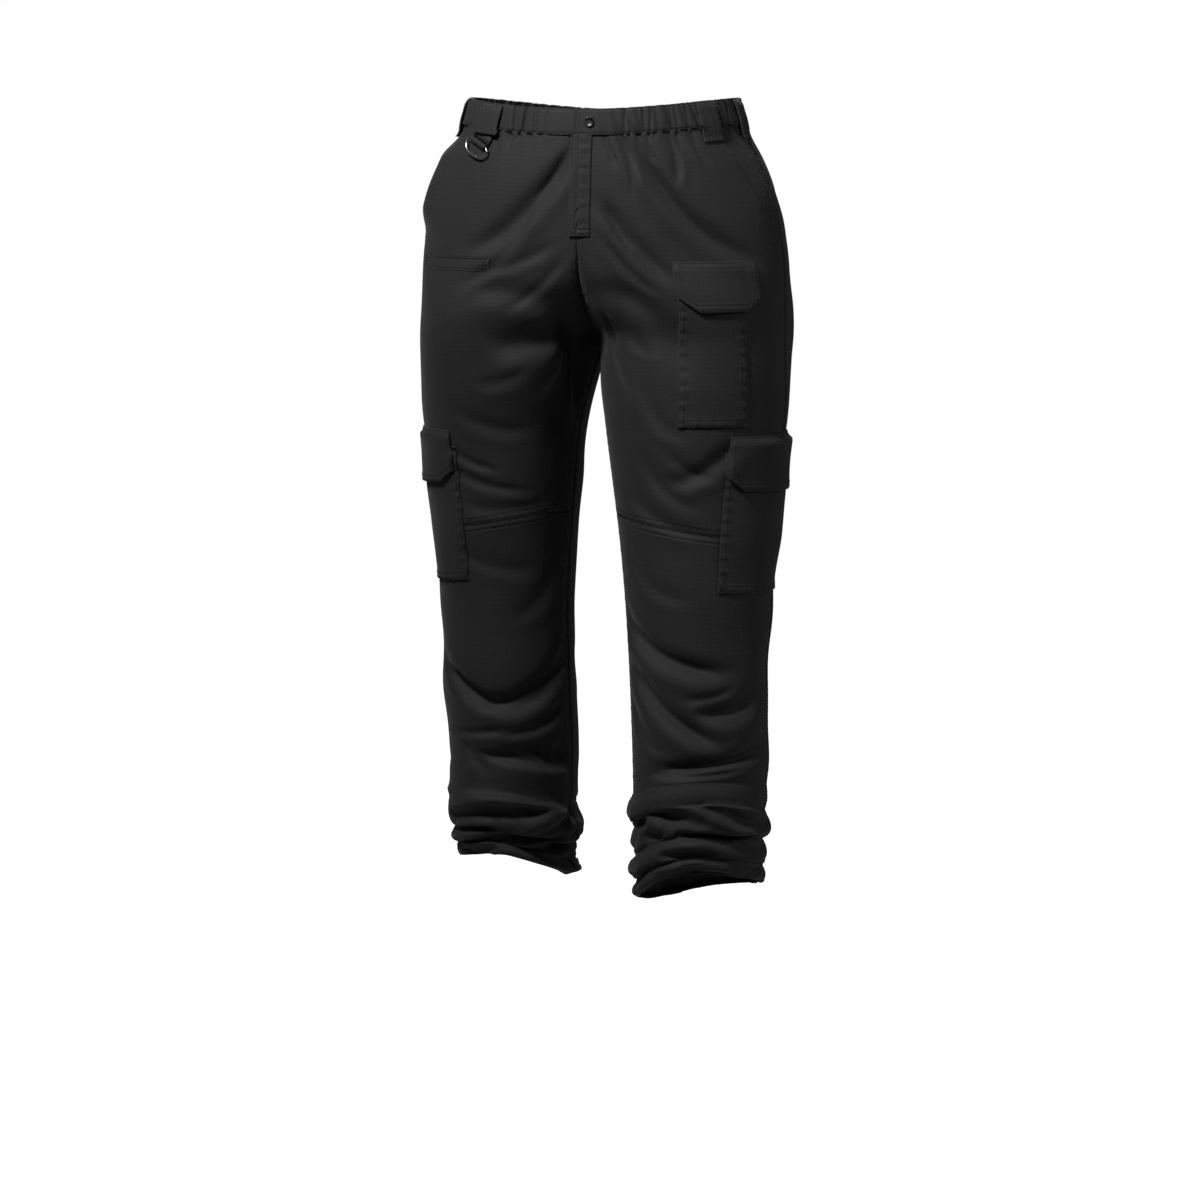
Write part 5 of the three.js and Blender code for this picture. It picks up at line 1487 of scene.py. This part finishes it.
def make_camera():
    focal_pixels = VIEW_AWAY / VIEW_SCALE
    tilt = math.atan(AIM_DROP_PIXELS / focal_pixels)
    ahead = Vector((-math.sin(VIEW_ROUND), math.cos(VIEW_ROUND), 0)) * math.cos(tilt)
    ahead.z = -math.sin(tilt)
    camera = bpy.data.objects.new("camera", bpy.data.cameras.new("camera"))
    camera.data.sensor_width = SENSOR
    camera.data.lens = SENSOR * focal_pixels / PHOTO_WIDTH
    camera.data.shift_x = (PHOTO_WIDTH / 2 - WAIST_COLUMN) / PHOTO_WIDTH
    camera.data.clip_end = 100
    camera.location = (VIEW_AWAY * math.sin(VIEW_ROUND), -VIEW_AWAY * math.cos(VIEW_ROUND), VIEW_HEIGHT)
    camera.rotation_euler = ahead.to_track_quat("-Z", "Y").to_euler()
    bpy.context.scene.collection.objects.link(camera)
    bpy.context.scene.camera = camera


def area_light(name, at, aim, size, power, spread=180):
    light = bpy.data.lights.new(name, "AREA")
    light.spread = math.radians(spread)
    light.size = size
    light.energy = power
    lamp = bpy.data.objects.new(name, light)
    lamp.location = at
    lamp.rotation_euler = (Vector(aim) - Vector(at)).to_track_quat("-Z", "Y").to_euler()
    bpy.context.scene.collection.objects.link(lamp)


def make_lights():
    area_light("key", (-0.55, -1.25, 1.35), (0, 0, 0.1), 0.4, 15.3, 104)
    area_light("fill", (2.6, -0.8, 0.8), (0.1, 0, -0.1), 0.8, 12.5)
    area_light("behind", (-0.5, 2.0, 1.5), (0, 0, -0.3), 1.2, 30)
    world = bpy.data.worlds.new("studio")
    bpy.context.scene.world = world
    world.use_nodes = True
    shader = Tree(world.node_tree)
    plain = world.node_tree.nodes["Background"]
    plain.inputs["Color"].default_value = (1, 1, 1, 1)
    plain.inputs["Strength"].default_value = 0.06
    seen = shader.add("ShaderNodeBackground", {"Color": (1, 1, 1, 1), "Strength": 1.0})
    path = shader.add("ShaderNodeLightPath")
    mix = shader.add("ShaderNodeMixShader", {0: path.outputs["Is Camera Ray"]})
    shader.tree.links.new(plain.outputs[0], mix.inputs[1])
    shader.tree.links.new(seen.outputs[0], mix.inputs[2])
    shader.tree.links.new(mix.outputs[0], world.node_tree.nodes["World Output"].inputs["Surface"])
    bpy.context.scene.view_settings.view_transform = "Standard"


def make_floor():
    mesh = bpy.data.meshes.new("floor")
    reach = 60.0
    low = -FLOOR_DROP
    mesh.from_pydata([(-reach, -reach, low), (reach, -reach, low), (reach, reach, low), (-reach, reach, low)],
                     [], [(0, 1, 2, 3)])
    floor = bpy.data.objects.new("floor", mesh)
    bpy.context.scene.collection.objects.link(floor)
    material, shader, surface = new_material("pale floor", {
        "Base Color": (0.3, 0.3, 0.3, 1), "Roughness": 0.9, "Specular IOR Level": 0.0,
        "Emission Strength": 0.98,
    })
    path = shader.add("ShaderNodeLightPath")
    shader.tree.links.new(path.outputs["Is Camera Ray"], surface["Emission Color"])
    mesh.materials.append(material)


def build():
    make_camera()
    make_lights()
    make_floor()
    weave = weave_group()
    sewn_rows = seam_group()
    cloth = ripstop("ripstop", weave, sewn_rows)
    thread = thread_material()
    steel = metal("ring steel", RING_DARK, RING_PALE, 0.18)
    gunmetal = metal("dark steel", BUTTON_DARK, BUTTON_PALE, 0.25)
    for side in SIGN:
        upper_front(side, cloth)
        lower_front(side, cloth)
        back_panel(side, cloth)
        hip_facing(side, cloth)
    waistband(cloth)
    fly(cloth)
    thigh_welt(cloth)
    pockets(cloth)
    belt_loops(cloth)
    ring_and_tab(cloth, steel)
    button(gunmetal)
    tree = stitch_tree()
    sewing("topstitching", STITCH_LINES, STITCH_PITCH, STITCH_LENGTH, THREAD, tree, thread)
    sewing("bar_tacks", TACK_LINES, 0.5, 1.0, THREAD * 0.8, tree, thread)


build()
